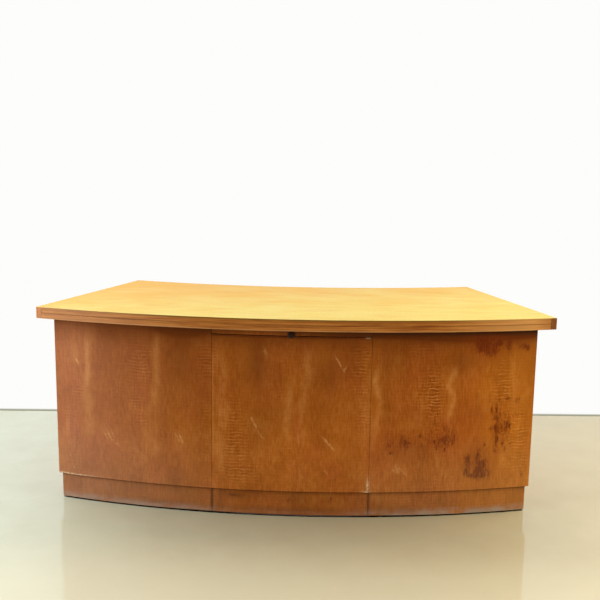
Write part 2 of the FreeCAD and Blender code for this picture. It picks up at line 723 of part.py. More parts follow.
def make_slide():
    """The visitor's pull-out slide: board, curved front lip, knob and stop batten."""
    front, back = arc("worked.body_front_radius"), arc("worked.panel_back_radius")
    low, high = "worked.slide_underside", "worked.slide_top"
    lip = keep(board("slide_lip", across_middle(front, back, "worked.slide_half"), low, high))
    flat = across_middle(back, straight("worked.slide_back_y"), "worked.slide_half")
    keep(board("slide_board", flat, low, high))
    stop = across_middle(
        straight("worked.stop_front_y"),
        straight("worked.stop_front_y - sizes.stop_width"),
        "sizes.stop_half_length",
    )
    keep(board("slide_stop", stop, f"{low} - sizes.stop_height", low))
    spot = ("sizes.panel_thickness", "worked.body_front_radius", "0", "worked.slide_knob_z", OUTWARD_TURN)
    drill_for_knob(lip, "slide_knob_hole", *spot)
    turned_knob("slide_knob", *spot)


# Drawers of the left pedestal, the bearers that part them and the battens that guide them.

Berth = namedtuple("Berth", "word front_low front_high bed ceiling")

BERTHS = (
    Berth(
        "upper",
        "worked.upper_division + sizes.reveal / 2",
        "worked.subtop_underside - sizes.reveal",
        "worked.upper_division + sizes.bearer_thickness / 2",
        "worked.subtop_underside",
    ),
    Berth(
        "middle",
        "worked.lower_division + sizes.reveal / 2",
        "worked.upper_division - sizes.reveal / 2",
        "worked.lower_division + sizes.bearer_thickness / 2",
        "worked.upper_division - sizes.bearer_thickness / 2",
    ),
    Berth(
        "lower",
        "worked.floor_top + sizes.reveal",
        "worked.lower_division - sizes.reveal / 2",
        "worked.floor_top",
        "worked.lower_division - sizes.bearer_thickness / 2",
    ),
)


def make_bearers(side):
    """The boards between the drawers, and a guide batten beside each drawer."""
    rear = arc("worked.front_back_radius + sizes.bearer_setback")
    inner = fore_and_aft(side, "worked.opening_inner_x")
    outer = end_line(side, "worked.side_back_inset")
    plan = plan_of(arc("worked.panel_back_radius"), rear, side, inner, outer)
    half = "sizes.bearer_thickness / 2"
    for word in ("upper", "lower"):
        middle = f"worked.{word}_division"
        keep(board(f"left_{word}_bearer", plan, f"{middle} - {half}", f"{middle} + {half}"))
    guide_inner = fore_and_aft(side, "worked.guide_inner_x")
    guide_outer = fore_and_aft(side, "worked.guide_inner_x + sizes.guide_width")
    ends = (straight("worked.box_back_y"), straight("worked.guide_rear_y"))
    batten = plan_of(*ends, side, guide_inner, guide_outer)
    guides = []
    for berth in BERTHS:
        top = f"{berth.bed} + sizes.guide_height"
        guides.append(board(f"{berth.word}_guide", batten, berth.bed, top))
    group("drawer_guides", guides)


def make_drawer(side, berth):
    """A drawer: curved front, two grooved sides, back, bottom and knob."""
    name = f"{berth.word}_drawer"
    low = f"{berth.bed} + sizes.running_gap"
    high = f"{berth.ceiling} - sizes.box_head_room"
    groove_low = f"{low} + sizes.bottom_height"
    groove_high = f"{groove_low} + sizes.bottom_thickness + sizes.groove_clearance"
    face, face_back = arc("worked.body_rear_radius"), arc("worked.front_back_radius")
    box_back = straight("worked.box_back_y")
    box_inner, box_outer = "worked.box_inner_x", "worked.box_outer_x"
    inner_cheek = f"{box_inner} + sizes.box_board"
    outer_cheek = f"{box_outer} - sizes.box_board"

    front_inner = fore_and_aft(side, "worked.front_inner_x")
    front_outer = fore_and_aft(side, "worked.front_outer_x")
    front_plan = plan_of(face_back, face, side, front_inner, front_outer)
    front = keep(board(f"{name}_front", front_plan, berth.front_low, berth.front_high))

    cheeks = (
        ("inner", box_inner, inner_cheek, f"{inner_cheek} - sizes.groove_depth", inner_cheek),
        ("outer", outer_cheek, box_outer, outer_cheek, f"{outer_cheek} + sizes.groove_depth"),
    )
    for word, near, far, groove_near, groove_far in cheeks:
        edges = fore_and_aft(side, near), fore_and_aft(side, far)
        cheek = keep(board(f"{name}_{word}_side", plan_of(box_back, face_back, side, *edges), low, high))
        slot_edges = fore_and_aft(side, groove_near), fore_and_aft(side, groove_far)
        slot = plan_of(box_back, face_back, side, *slot_edges)
        cut_slot(cheek, f"{name}_{word}_groove", slot, groove_low, groove_high)

    back_front = straight("worked.box_back_y - sizes.box_board")
    back_edges = fore_and_aft(side, inner_cheek), fore_and_aft(side, outer_cheek)
    back_plan = plan_of(box_back, back_front, side, *back_edges)
    keep(board(f"{name}_back", back_plan, groove_high, high))

    tongue = "sizes.groove_depth - sizes.groove_clearance"
    bottom_inner = fore_and_aft(side, f"{inner_cheek} - ({tongue})")
    bottom_outer = fore_and_aft(side, f"{outer_cheek} + {tongue}")
    bottom_plan = plan_of(box_back, face_back, side, bottom_inner, bottom_outer)
    bottom_top = f"{groove_low} + sizes.bottom_thickness"
    keep(board(f"{name}_bottom", bottom_plan, groove_low, bottom_top))

    angle = f"({side} * asin(worked.front_middle_x / worked.body_rear_radius) / 1deg)"
    middle = f"({berth.front_low} + {berth.front_high}) / 2"
    spot = ("sizes.drawer_front_thickness", "worked.body_rear_radius", angle, middle, 0)
    drill_for_knob(front, f"{name}_knob_hole", *spot)
    turned_knob(f"{name}_knob", *spot)


# The cupboard of the right pedestal: door, knob, hinges, and a shelf on two battens.


def make_door(side):
    """The curved door, with a sloped free edge so that it clears the pedestal side as it swings."""
    face, face_back = arc("worked.body_rear_radius"), arc("worked.front_back_radius")
    free_edge = slanted(side, "worked.front_inner_x", "worked.front_inner_x + sizes.door_bevel")
    hinged_edge = fore_and_aft(side, "worked.front_outer_x")
    plan = plan_of(face_back, face, side, free_edge, hinged_edge)
    door = keep(board("door_panel", plan, "worked.door_low", "worked.door_high"))
    knob_x = "(worked.front_inner_x + sizes.door_knob_inset)"
    angle = f"({side} * asin({knob_x} / worked.body_rear_radius) / 1deg)"
    height = "(worked.door_low + worked.door_high) / 2"
    spot = ("sizes.drawer_front_thickness", "worked.body_rear_radius", angle, height, 0)
    drill_for_knob(door, "door_knob_hole", *spot)
    turned_knob("door_knob", *spot)


def hinge_leaf(name, turn, knuckles):
    """A leaf with its own knuckles, about an upright axis. turn is 1 to the +X side and -1 to the -X side."""
    pitch = f"(sizes.hinge_height / {KNUCKLES})"
    width, thickness = "sizes.hinge_leaf_width", "sizes.hinge_leaf_thickness"
    clear = "(sizes.hinge_knuckle_radius + sizes.hinge_gap)"
    plate_x = clear if turn > 0 else f"-{width}"
    plate_at = (plate_x, "sizes.hinge_seat", "")
    pieces = [box(f"{name}_plate", plate_at, (f"{width} - {clear}", thickness, "sizes.hinge_height"))]
    tall = f"{pitch} - sizes.hinge_gap"
    for knuckle in knuckles:
        level = f"{knuckle} * {pitch} + sizes.hinge_gap / 2"
        tongue_at = ("" if turn > 0 else f"-{clear}", "sizes.hinge_seat", level)
        pieces.append(box(f"{name}_tongue_{knuckle}", tongue_at, (clear, thickness, tall)))
        barrel_at = ("", "worked.hinge_axis_y", level)
        pieces.append(rod(f"{name}_barrel_{knuckle}", barrel_at, "sizes.hinge_knuckle_radius", tall))
    solid = joined(f"{name}_solid", pieces)
    bore_at = ("", "worked.hinge_axis_y", "")
    bore = rod(f"{name}_bore", bore_at, "worked.hinge_bore", "sizes.hinge_height")
    return less(name, solid, bore)


def make_hinges():
    """Two face hinges, each of a fixed leaf, a moving leaf and a pin."""
    levels = {
        "lower": "worked.door_low + sizes.hinge_inset",
        "upper": "worked.door_high - sizes.hinge_inset - sizes.hinge_height",
    }
    fixed, moving, pins = [], [], []
    for word, level in levels.items():
        fixed.append(hinge_leaf(f"{word}_fixed_leaf", RIGHT, (0, 2)))
        moving.append(hinge_leaf(f"{word}_moving_leaf", LEFT, (1,)))
        pin_at = ("", "worked.hinge_axis_y", "")
        shank = rod(f"{word}_pin_shank", pin_at, "sizes.hinge_pin_radius", "sizes.hinge_height")
        head_at = ("", "worked.hinge_axis_y", "sizes.hinge_height")
        head = rod(f"{word}_pin_head", head_at, "sizes.hinge_knuckle_radius", "sizes.hinge_leaf_thickness")
        pins.append(joined(f"{word}_pin", [shank, head]))
        for piece in (fixed[-1], moving[-1], pins[-1]):
            face_frame(piece, "Placement", "worked.body_rear_radius", "worked.hinge_angle", level, 0)
    group("hinge_fixed_leaves", fixed)
    group("hinge_moving_leaves", moving)
    group("hinge_pins", pins)


def make_shelf(side):
    """The cupboard shelf and the two battens that it rests on."""
    front, rear = arc("worked.panel_back_radius - sizes.shelf_gap"), "worked.front_back_radius"
    shelf_rear = arc(f"{rear} + sizes.shelf_setback")
    inner = fore_and_aft(side, "worked.opening_inner_x + sizes.shelf_gap")
    outer = end_line(side, "worked.side_back_inset + sizes.shelf_gap")
    shelf_top = "worked.shelf_underside + sizes.shelf_thickness"
    plan = plan_of(front, shelf_rear, side, inner, outer)
    keep(board("cupboard_shelf", plan, "worked.shelf_underside", shelf_top))
    cleat_low = "worked.shelf_underside - sizes.shelf_cleat_height"
    wall = fore_and_aft(side, "worked.opening_inner_x")
    wall_batten = fore_and_aft(side, "worked.opening_inner_x + sizes.shelf_cleat_width")
    end = end_line(side, "worked.side_back_inset")
    end_batten = end_line(side, "worked.side_back_inset + sizes.shelf_cleat_width")
    inner_plan = plan_of(front, shelf_rear, side, wall, wall_batten)
    outer_plan = plan_of(front, shelf_rear, side, end_batten, end)
    inner_cleat = board("inner_shelf_cleat", inner_plan, cleat_low, "worked.shelf_underside")
    outer_cleat = board("outer_shelf_cleat", outer_plan, cleat_low, "worked.shelf_underside")
    group("shelf_cleats", [inner_cleat, outer_cleat])


# Fixings and feet.


def make_screws():
    """The screws that hold the top down on the two subtops."""
    screws = []
    shank_length = "sizes.board_thickness + sizes.screw_bite"
    head_low = "worked.subtop_underside - sizes.screw_head_height"
    for side, word in ((LEFT, "left"), (RIGHT, "right")):
        for count, point in enumerate(top_screw_points(side)):
            name = f"{word}_screw_{count}"
            foot = upright_foot(point, "worked.subtop_underside")
            shank = rod(f"{name}_shank", foot, "sizes.screw_radius", shank_length)
            head_foot = upright_foot(point, head_low)
            radii = ("sizes.screw_radius", "sizes.screw_head_radius")
            head = taper(f"{name}_head", head_foot, *radii, "sizes.screw_head_height")
            screws.append(joined(name, [shank, head]))
    group("top_screws", screws)


def make_glides():
    """The glides that the plinth stands on, near the ends of its curved boards."""
    front = "(worked.plinth_front_radius - sizes.plinth_thickness / 2)"
    rear = "(worked.plinth_rear_radius + sizes.plinth_thickness / 2)"
    inner = "worked.pedestal_inner_x + sizes.glide_inset"
    outer = "worked.plinth_end_inset + sizes.glide_inset"
    points = []
    for side in (LEFT, RIGHT):
        for radius in (front, rear):
            points.append(at_x(radius, side, inner))
            points.append(at_inset(radius, side, outer))
        points.append(at_x(front, side, "worked.bay_panel_half - sizes.glide_inset"))
    glides = []
    for count, point in enumerate(points):
        radii = ("sizes.glide_foot_radius", "sizes.glide_radius")
        glides.append(taper(f"glide_{count}", upright_foot(point, ""), *radii, "sizes.glide_height"))
    group("glides", glides)


make_top()
for pedestal_side, pedestal in ((LEFT, "left"), (RIGHT, "right")):
    make_carcass(pedestal_side, pedestal)
    make_plinth(pedestal_side, pedestal)
make_centre()
make_slide()
make_bearers(LEFT)
for drawer_berth in BERTHS:
    make_drawer(LEFT, drawer_berth)
make_door(RIGHT)
make_hinges()
make_shelf(RIGHT)
make_screws()
make_glides()
doc.recompute()

for thing in doc.Objects:
    if {"Invalid", "Error"} & set(thing.State):
        raise ValueError(f"{thing.Name} failed: {thing.State}")
for node in nodes:
    if node.Shape.isNull() or not node.Shape.isValid() or not node.Shape.Solids:
        raise ValueError(f"{node.Label} has no sound solid")

os.makedirs("parts", exist_ok=True)
for node in nodes:
    node.Shape.exportStep(f"parts/{node.Label}.step")
print(len(nodes), "nodes")
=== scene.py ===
# %% [markdown]
# # A bow-fronted captain's desk
# The desk has a crescent top on two pedestals, with a curved centre panel between them. It was veneered in
# cherry: red-brown on the body, and gold on the top, partly bleached by years of light and partly a painted
# sheen. The imported CAD model is the fixed frame. It says where every board is and how the slide, drawers
# and door move, and this lesson gives the boards their eased edges, their figured veneer and their wear.

# %% Load the frame
import math
from functools import partial

import bpy
import numpy as np
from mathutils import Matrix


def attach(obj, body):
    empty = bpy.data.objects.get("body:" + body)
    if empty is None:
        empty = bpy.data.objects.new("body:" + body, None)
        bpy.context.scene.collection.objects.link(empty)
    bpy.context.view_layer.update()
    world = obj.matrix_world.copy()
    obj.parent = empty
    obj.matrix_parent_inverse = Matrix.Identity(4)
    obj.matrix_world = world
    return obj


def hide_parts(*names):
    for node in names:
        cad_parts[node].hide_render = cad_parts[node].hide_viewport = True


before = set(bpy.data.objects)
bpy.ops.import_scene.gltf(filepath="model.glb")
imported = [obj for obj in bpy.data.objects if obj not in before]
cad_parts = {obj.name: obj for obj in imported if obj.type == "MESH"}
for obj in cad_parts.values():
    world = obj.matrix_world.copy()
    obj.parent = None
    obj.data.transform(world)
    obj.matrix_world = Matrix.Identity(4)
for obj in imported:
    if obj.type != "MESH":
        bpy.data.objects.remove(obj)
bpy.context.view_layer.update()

# %% [markdown]
# ## The camera
# The photograph was taken from a little right of the middle, at about the height of a standing person's
# chest. A camera could be aimed by eye, but here its place and turn were worked out once from the desk's
# outlines, and are written down as a point and three angles.

# %% The camera
EYE = (0.1464, -3.3947, 1.3209)
YAW, PITCH, ROLL = 0.0396, 0.1673, -0.0145
FOCAL_PIXELS, IMAGE_PIXELS, SENSOR_MM = 851.87, 600, 36


def camera_axes(yaw, pitch, roll):
    """Right, up and backward, as columns, of a camera that yaws to the left, looks down and rolls."""
    ahead = np.array([-math.sin(yaw) * math.cos(pitch), math.cos(yaw) * math.cos(pitch), -math.sin(pitch)])
    level = np.array([math.cos(yaw), math.sin(yaw), 0.0])
    below = np.cross(ahead, level)
    right = math.cos(roll) * level + math.sin(roll) * below
    down = math.cos(roll) * below - math.sin(roll) * level
    return np.stack([right, -down, -ahead], axis=1)


def stand(name, data, axes, place):
    """Puts a camera or a lamp with the given axes at a place in the scene."""
    made = bpy.data.objects.new(name, data)
    turn = np.eye(4)
    turn[:3, :3], turn[:3, 3] = axes, place
    made.matrix_world = turn.T.tolist()
    bpy.context.scene.collection.objects.link(made)
    return made


camera = stand("photo_camera", bpy.data.cameras.new("photo_camera"), camera_axes(YAW, PITCH, ROLL), EYE)
camera.data.sensor_width = SENSOR_MM
camera.data.lens = SENSOR_MM * FOCAL_PIXELS / IMAGE_PIXELS
bpy.context.scene.camera = camera
bpy.context.scene.view_settings.view_transform = "Standard"
print("camera lens", round(camera.data.lens, 2), "mm")

# %% [markdown]
# ## Small helpers for materials
# Colours are picked on screen, as sRGB hex values, but Blender reckons light in linear values, so one
# function turns one into the other. Another adds a node: its settings by name, and its inputs in the order
# in which Blender shows them, as constants or as links from nodes made before it. A new material comes
# with that function, tied to it and called add.

# %% Colours and nodes
# Settings that many nodes share.
SOFT, RGBA = {"interpolation_type": "SMOOTHSTEP"}, {"data_type": "RGBA"}
TIMES, TIMES_PLUS = {"operation": "MULTIPLY"}, {"operation": "MULTIPLY_ADD"}


def linear(hex_colour):
    """sRGB to linear: a dark channel is divided by 12.92, and a lighter one follows a curve of power 2.4."""
    channels = np.array([int(hex_colour[i : i + 2], 16) for i in (1, 3, 5)]) / 255
    light = np.where(channels <= 0.04045, channels / 12.92, ((channels + 0.055) / 1.055) ** 2.4)
    return (*light.tolist(), 1.0)


def add_node(tree, kind, *values, sockets=None, **settings):
    """Adds a node. Values fill its open inputs in order, and sockets fill inputs by name.

    A value is a constant, a node, whose first open output is linked, or a (node, output) pair.
    """
    made = tree.nodes.new("ShaderNode" + kind)
    for name, value in settings.items():
        setattr(made, name, value)
    filled = list(zip([socket for socket in made.inputs if socket.enabled], values))
    filled += [(made.inputs[name], value) for name, value in (sockets or {}).items()]
    for socket, value in filled:
        source = value[0] if isinstance(value, tuple) else value
        if not hasattr(source, "outputs"):
            socket.default_value = value
        elif isinstance(value, tuple):
            tree.links.new(source.outputs[value[1]], socket)
        else:
            tree.links.new(next(output for output in source.outputs if output.enabled), socket)
    return made


def new_material(name):
    """A material without nodes, and the function that adds nodes to it."""
    material = bpy.data.materials.new(name)
    material.use_nodes = True
    material.node_tree.nodes.clear()
    return material, partial(add_node, material.node_tree)


print("cherry", [round(v, 3) for v in linear("#B86C2C")])

# %% [markdown]
# ## Light
# The desk stands before a white wall, between two skylights, and the room on the camera's side is dim. The
# wall sheds light from behind, so that the desk shades the floor in front of it. The skylights are high
# and far to the sides, so that the overhang of the top darkens the panels below it. A broad soft light
# behind the camera lifts the bow to a plain level, and two small windows brighten its ends. The world does
# for both wall and room: bright behind the desk and dim before it, and white wherever the camera looks
# past the desk.

# %% World and lamps
ROOM_FILL, WALL_FILL, STEEP = 0.02, 1.1, 0.9
world = bpy.data.worlds.new("white_room")
bpy.context.scene.world = world
world.use_nodes = True
sky = world.node_tree
sky.nodes.clear()
add = partial(add_node, sky)
path = add("LightPath")
facing = add("SeparateXYZ", (add("TexCoord"), "Generated"))
wall_side = add("MapRange", (facing, "Y"), -0.3, 0.4)
mirrored = add("Math", (path, "Is Glossy Ray"), wall_side, **TIMES)
looked_at = add("Math", (path, "Is Camera Ray"), mirrored, operation="MAXIMUM")
looked_at = add("Math", looked_at, (path, "Is Transmission Ray"), operation="MAXIMUM")
strength = add("MapRange", wall_side, 0.0, 1.0, ROOM_FILL, WALL_FILL)
fill = add("Background", linear("#FFFFFF"), strength)
white = add("Background", linear("#FDFDFB"), 1.0)
add("OutputWorld", add("MixShader", looked_at, fill, white))


def soft_light(name, place, target, width, height, watts, colour):
    """A rectangular lamp that faces a target. Neither the camera nor the polished floor shows it."""
    data = bpy.data.lights.new(name, "AREA")
    data.shape = "RECTANGLE"
    data.size, data.size_y = width, height
    data.energy = watts
    data.color = linear(colour)[:3]
    back = np.array(place, float) - np.array(target, float)
    back /= np.linalg.norm(back)
    beside = np.cross([0.0, 1.0, 0.0] if abs(back[2]) > STEEP else [0.0, 0.0, 1.0], back)
    beside /= np.linalg.norm(beside)
    lamp = stand(name, data, np.stack([beside, np.cross(back, beside), back], axis=1), place)
    lamp.visible_camera = lamp.visible_glossy = False


# Name, place, target, width and height in metres, watts and colour.
for row in (
    ("front_light", (0.3, -7.0, 0.6), (0.0, 0.0, 0.5), 5.0, 1.0, 66, "#FFFFFF"),
    ("ceiling_light", (0.0, 0.2, 2.8), (0.0, 0.2, 0.0), 3.6, 1.0, 14, "#FFFFFF"),
    ("left_skylight", (-2.8, -0.8, 2.8), (-2.8, -0.8, 0.0), 1.6, 3.0, 116, "#F8FDFF"),
    ("right_skylight", (2.8, -0.8, 2.8), (2.8, -0.8, 0.0), 1.6, 3.0, 128, "#FFF3D0"),
    ("left_window", (-3.5, -1.7, 1.3), (-0.6, -0.2, 0.5), 1.0, 2.0, 54, "#F4F9FF"),
    ("right_window", (3.6, -1.5, 1.2), (0.6, -0.2, 0.5), 1.0, 2.0, 28, "#FFF3D0"),
):
    soft_light(*row)

# %% [markdown]
# ## The floor and the wall
# The floor is polished concrete, pale, with a painted tint of the light, cool on the window side and warmer
# on the other. The wall is a white card that only the camera sees, and only from the front, so that the
# desk can be looked at from behind as well. Neither is part of the desk.

# %% Polished concrete
# Ground and sealed concrete: a pale mottle as large as a hand, a painted shade in front of the desk,
# painted light towards the camera, and a soft mirror of what stands on it.
MOTTLE_MM, FRONT_SHADE_CENTRE, NEARER = 180, (0.08, -0.6, 0.0), (-0.55, -1.1)
ARC_CENTRE, UNDER_PLINTH, PLINTH_END = (0.0, 2.92, 0.0), (3.310, 3.3285), 0.886
concrete, add = new_material("polished_concrete")
where = (add("TexCoord"), "Object")
across = add("SeparateXYZ", where)
# Painted tint of the light: cool on the window side, warm on the other.
painted_warm_tint = add("MapRange", (across, "X"), -1.4, 1.4, **SOFT)
tint = add("Mix", painted_warm_tint, linear("#BDC0AC"), linear("#B8AE92"), **RGBA)
mottle = add("TexNoise", where, 1000 / MOTTLE_MM, 5.0, 0.6)
cloud = add("MapRange", mottle, 0.35, 0.7, 0.0, 0.22)
# Painted shade on the floor in front of the desk.
painted_front_shade = add("VectorMath", where, FRONT_SHADE_CENTRE, operation="DISTANCE")
painted_front_shade = add("MapRange", painted_front_shade, 1.2, 0.2, 0.0, 0.4, **SOFT)
# Painted light: paler towards the camera.
painted_near_light = add("MapRange", (across, "Y"), *NEARER, 0.0, 0.5, **SOFT)
# A painted shadow lies on the floor under the front of the plinth, seen through the gap above the floor.
reach = add("VectorMath", where, ARC_CENTRE, operation="DISTANCE")
aside = add("Math", (across, "X"), operation="ABSOLUTE")
painted_gap_shadow = add("Math", reach, UNDER_PLINTH[0], operation="GREATER_THAN")
for value, limit in ((reach, UNDER_PLINTH[1]), (aside, PLINTH_END), ((across, "Y"), 0.0)):
    within = add("Math", value, limit, operation="LESS_THAN")
    painted_gap_shadow = add("Math", painted_gap_shadow, within, **TIMES)
for factor, colour in ((cloud, "#9F987C"), (painted_front_shade, "#85765A"), (painted_near_light, "#D4CCB2"), (painted_gap_shadow, "#1E1914")):
    tint = add("Mix", factor, tint, linear(colour), **RGBA)
gloss = add("MapRange", mottle, 0.3, 0.7, 0.05, 0.11)
surface = add("BsdfPrincipled", sockets={"Base Color": tint, "Roughness": gloss, "IOR": 1.5})
add("OutputMaterial", surface)
print(concrete.name, len(concrete.node_tree.nodes), "nodes")

# %% White wall paint
# The card glows as white as the world, with a painted grey shadow along its foot, and its rear side is
# clear.
SHADOW_LINE_Z = (0.014, 0.006)
white_paint, add = new_material("white_wall_paint")
above = add("SeparateXYZ", (add("TexCoord"), "Object"))
painted_foot_shadow = add("MapRange", (above, "Z"), *SHADOW_LINE_Z)
coat = add("Mix", painted_foot_shadow, linear("#FDFDFB"), linear("#A09F88"), **RGBA)
paint = add("Emission", coat, 1.0)
behind = (add("NewGeometry"), "Backfacing")
add("OutputMaterial", add("MixShader", behind, paint, add("BsdfTransparent")))

FLOOR_REACH, WALL_HIGH, WALL_MIDDLE, WALL_SLOPE = 6.0, 5.0, 0.8777, 0.0557


def new_mesh(name, points, faces):
    """Puts a mesh of points and faces in the scene."""
    mesh = bpy.data.meshes.new(name)
    mesh.from_pydata(points.reshape(-1, 3).tolist(), [], faces)
    made = bpy.data.objects.new(name, mesh)
    bpy.context.scene.collection.objects.link(made)
    return made


square = np.array([(-1, -1), (1, -1), (1, 1), (-1, 1)]) * FLOOR_REACH
floor_points = np.column_stack([square, np.zeros(4)])
wall_y = WALL_MIDDLE + WALL_SLOPE * square[:, 0]
wall_points = np.column_stack([square[:, 0], wall_y, (square[:, 1] > 0) * WALL_HIGH])
sheets = {}
for name, corners, material in (("floor", floor_points, concrete), ("wall", wall_points, white_paint)):
    sheets[name] = new_mesh(name, corners, [(0, 1, 2, 3)])
    sheets[name].data.materials.append(material)
for ray in ("diffuse", "glossy", "transmission", "shadow"):
    setattr(sheets["wall"], f"visible_{ray}", False)
print("wall", WALL_MIDDLE, "m behind the desk's middle")

# %% [markdown]
# ## Slip-matched cherry veneer
# A veneer mill slices a log into leaves, and the maker lays one leaf beside the next without turning it
# over, so that the same figure comes back every 272 mm and changes a little each time. The material does
# the same. It reads the arc length along the front and the height from the board's own map, finds the leaf
# and the place in it, and takes the leaf's number as the third axis of its noises, as if each leaf were
# cut a little deeper. An image of real veneer would repeat and would fit only one board. Noises fit them
# all.

# %% Leaves of the veneer
LEAF_MM, FIRST_JOINT_MM = 272.0, 6.0
cherry, add = new_material("slip_matched_cherry_veneer")
mm = add("VectorMath", add("UVMap", uv_map="grain"), 1000.0, operation="SCALE")
place = add("SeparateXYZ", mm)
along, height = (place, "X"), (place, "Y")
shifted = add("Math", along, FIRST_JOINT_MM, operation="SUBTRACT")
leaves = add("Math", shifted, LEAF_MM, operation="DIVIDE")
leaf = add("Math", leaves, operation="FLOOR")
share = add("Math", leaves, operation="FRACT")
local = add("Math", share, LEAF_MM, **TIMES)
spot = add("CombineXYZ", local, height, leaf)

# Width and length in mm along the grain, change from leaf to leaf, detail, roughness and distortion. Real
# fibres are half a millimetre wide; they are drawn 3.5 mm wide so that a few show.
WOOD = {
    "band": (50, 420, 0.31, 3.0, 0.55, 0.3),
    "blush": (150, 230, 0.45, 2.0, 0.5, 0.0),
    "cloud": (130, 110, 0.5, 2.0, 0.5, 0.0),
    "silk": (13, 26, 0.7, 3.0, 0.6, 0.5),
    "fibre": (3.5, 45, 0.9, 4.0, 0.65, 0.4),
    "warp": (38, 34, 0.6, 3.0, 0.5, 0.0),
    "patch": (75, 140, 0.8, 1.0, 0.5, 0.0),
    "break": (24, 9, 0.5, 2.0, 0.5, 0.0),
    "soak": (7, 13, 1.7, 4.0, 0.7, 0.0),
    "scrape": (70, 25, 0.4, 4.0, 0.65, 0.0),
    "chip": (9, 6, 0.3, 3.0, 0.5, 0.0),
}
noise = {}
for name, (wide, tall, step, detail, rough, twist) in WOOD.items():
    at = add("VectorMath", spot, (1 / wide, 1 / tall, step), **TIMES)
    noise[name] = add("TexNoise", at, 1.0, detail, rough, sockets={"Distortion": twist})
# What is seen on one board alone comes from that board, as a number per point.
MARKS = ("drawn", "pale", "fleck", "ripple", "stain", "reddened", "shade", "worn")
own = {name: (add("Attribute", attribute_name=name), "Fac") for name in MARKS}
print("leaves of", LEAF_MM, "mm with", len(noise), "noises and", len(own), "kinds of mark")

# %% [markdown]
# ### Figure
# Growth rings give broad bands, and cherry reddens unevenly, in drifts as long as an arm. Bends of the log
# show as a pale wavy streak beside each joint, and as ripples across the grain, in patches that end at a
# joint. A board with streaks of its own keeps a trace of the common one. Ripples, fibres, streaks, clouds
# of yellowed lacquer and a silky mottle all lighten or darken the wood: they are added up, and one sum
# drives it towards pale or deep.

# %% Figure of the veneer
HEART, PLAIN, PALE, DEEP = (linear(colour) for colour in ("#AA5A15", "#BA681B", "#DA9048", "#642E04"))
STREAK_MM, STREAK_HALF_MM = (20.0, 54.0), (21.0, 1.0)
TURN, RIPPLE_MM, RIPPLE_BEND, EVERYWHERE, RIPPLE_SHOW = 2 * math.pi, 12.5, 10.0, 0.1, 0.36
DRY_MM, DRIER, END_FACE_MM = (250.0, 500.0), 0.45, 1500.0
tone = add("MapRange", noise["band"], 0.25, 0.75, **SOFT)
wood = add("Mix", tone, HEART, PLAIN, **RGBA)
blush = add("MapRange", noise["blush"], 0.44, 0.64, 0.0, 0.4, **SOFT)
wood = add("Mix", blush, wood, linear("#B85C26"), **RGBA)

common = add("MapRange", own["drawn"], 0.0, 1.0, 0.75, 0.22)
wander = add("CombineXYZ", height, leaf)
for name, tall, step in (("sway", 190, 0.37), ("fade", 95, 0.7)):
    at = add("VectorMath", wander, (1 / tall, step, 1.0), **TIMES)
    noise[name] = add("TexNoise", at, 1.0, 2.0, noise_dimensions="2D")
middle = add("MapRange", noise["sway"], 0.25, 0.75, *STREAK_MM)
off = add("Math", local, middle, operation="SUBTRACT")
off = add("Math", off, operation="ABSOLUTE")
streak = add("MapRange", off, *STREAK_HALF_MM, **SOFT)
fade = add("MapRange", noise["fade"], 0.34, 0.64, 0.05, 0.6)
for part in (fade, common):
    streak = add("Math", streak, part, **TIMES)

# A ripple is a thin pale crest with a wider dip. It is bent by a noise, and broken every few centimetres.
bend = add("Math", noise["warp"], RIPPLE_BEND, **TIMES)
phase = add("Math", height, TURN / RIPPLE_MM, bend, **TIMES_PLUS)
wave = add("Math", phase, operation="SINE")
crest = add("MapRange", wave, -0.2, 1.0, -0.45, 1.0, **SOFT)
near_joint = add("MapRange", local, 150.0, 255.0, -0.1, 0.1)
patch = add("Math", noise["patch"], near_joint, operation="ADD")
patch = add("MapRange", patch, 0.55, 0.72, **SOFT)
patch = add("Math", patch, common, own["ripple"], **TIMES_PLUS)
patch = add("Math", patch, EVERYWHERE, operation="ADD")
broken = add("MapRange", noise["break"], 0.38, 0.6, 0.1, 1.6, **SOFT)
ripple = add("Math", crest, patch, **TIMES)
ripple = add("Math", ripple, broken, **TIMES)

# The right side of the bow has dried out more, and its grain stands out. On end faces the map gives the
# radius, which is longer than any arc.
light = add("MapRange", noise["fibre"], 0.3, 0.7, -0.24, 0.24)
light = add("Math", ripple, RIPPLE_SHOW, light, **TIMES_PLUS)
on_arc = add("Math", along, END_FACE_MM, operation="LESS_THAN")
dry = add("MapRange", along, *DRY_MM, 0.0, DRIER)
dry = add("Math", dry, on_arc, 1.0, **TIMES_PLUS)
light = add("Math", light, dry, **TIMES)
haze = add("MapRange", noise["cloud"], 0.35, 0.7, -0.1, 0.16)
sheen = add("MapRange", noise["silk"], 0.3, 0.7, -0.15, 0.17)
for part in (streak, haze, sheen):
    light = add("Math", light, part, operation="ADD")
uneven = add("MapRange", noise["soak"], 0.36, 0.64, 0.45, 1.2)
light = add("Math", own["pale"], uneven, light, **TIMES_PLUS)
dark = add("MapRange", light, 0.0, -0.5, 0.0, 0.6)
for factor, colour in ((light, PALE), (dark, DEEP)):
    wood = add("Mix", factor, wood, colour, **RGBA)
print("figure of", len(cherry.node_tree.nodes), "nodes")
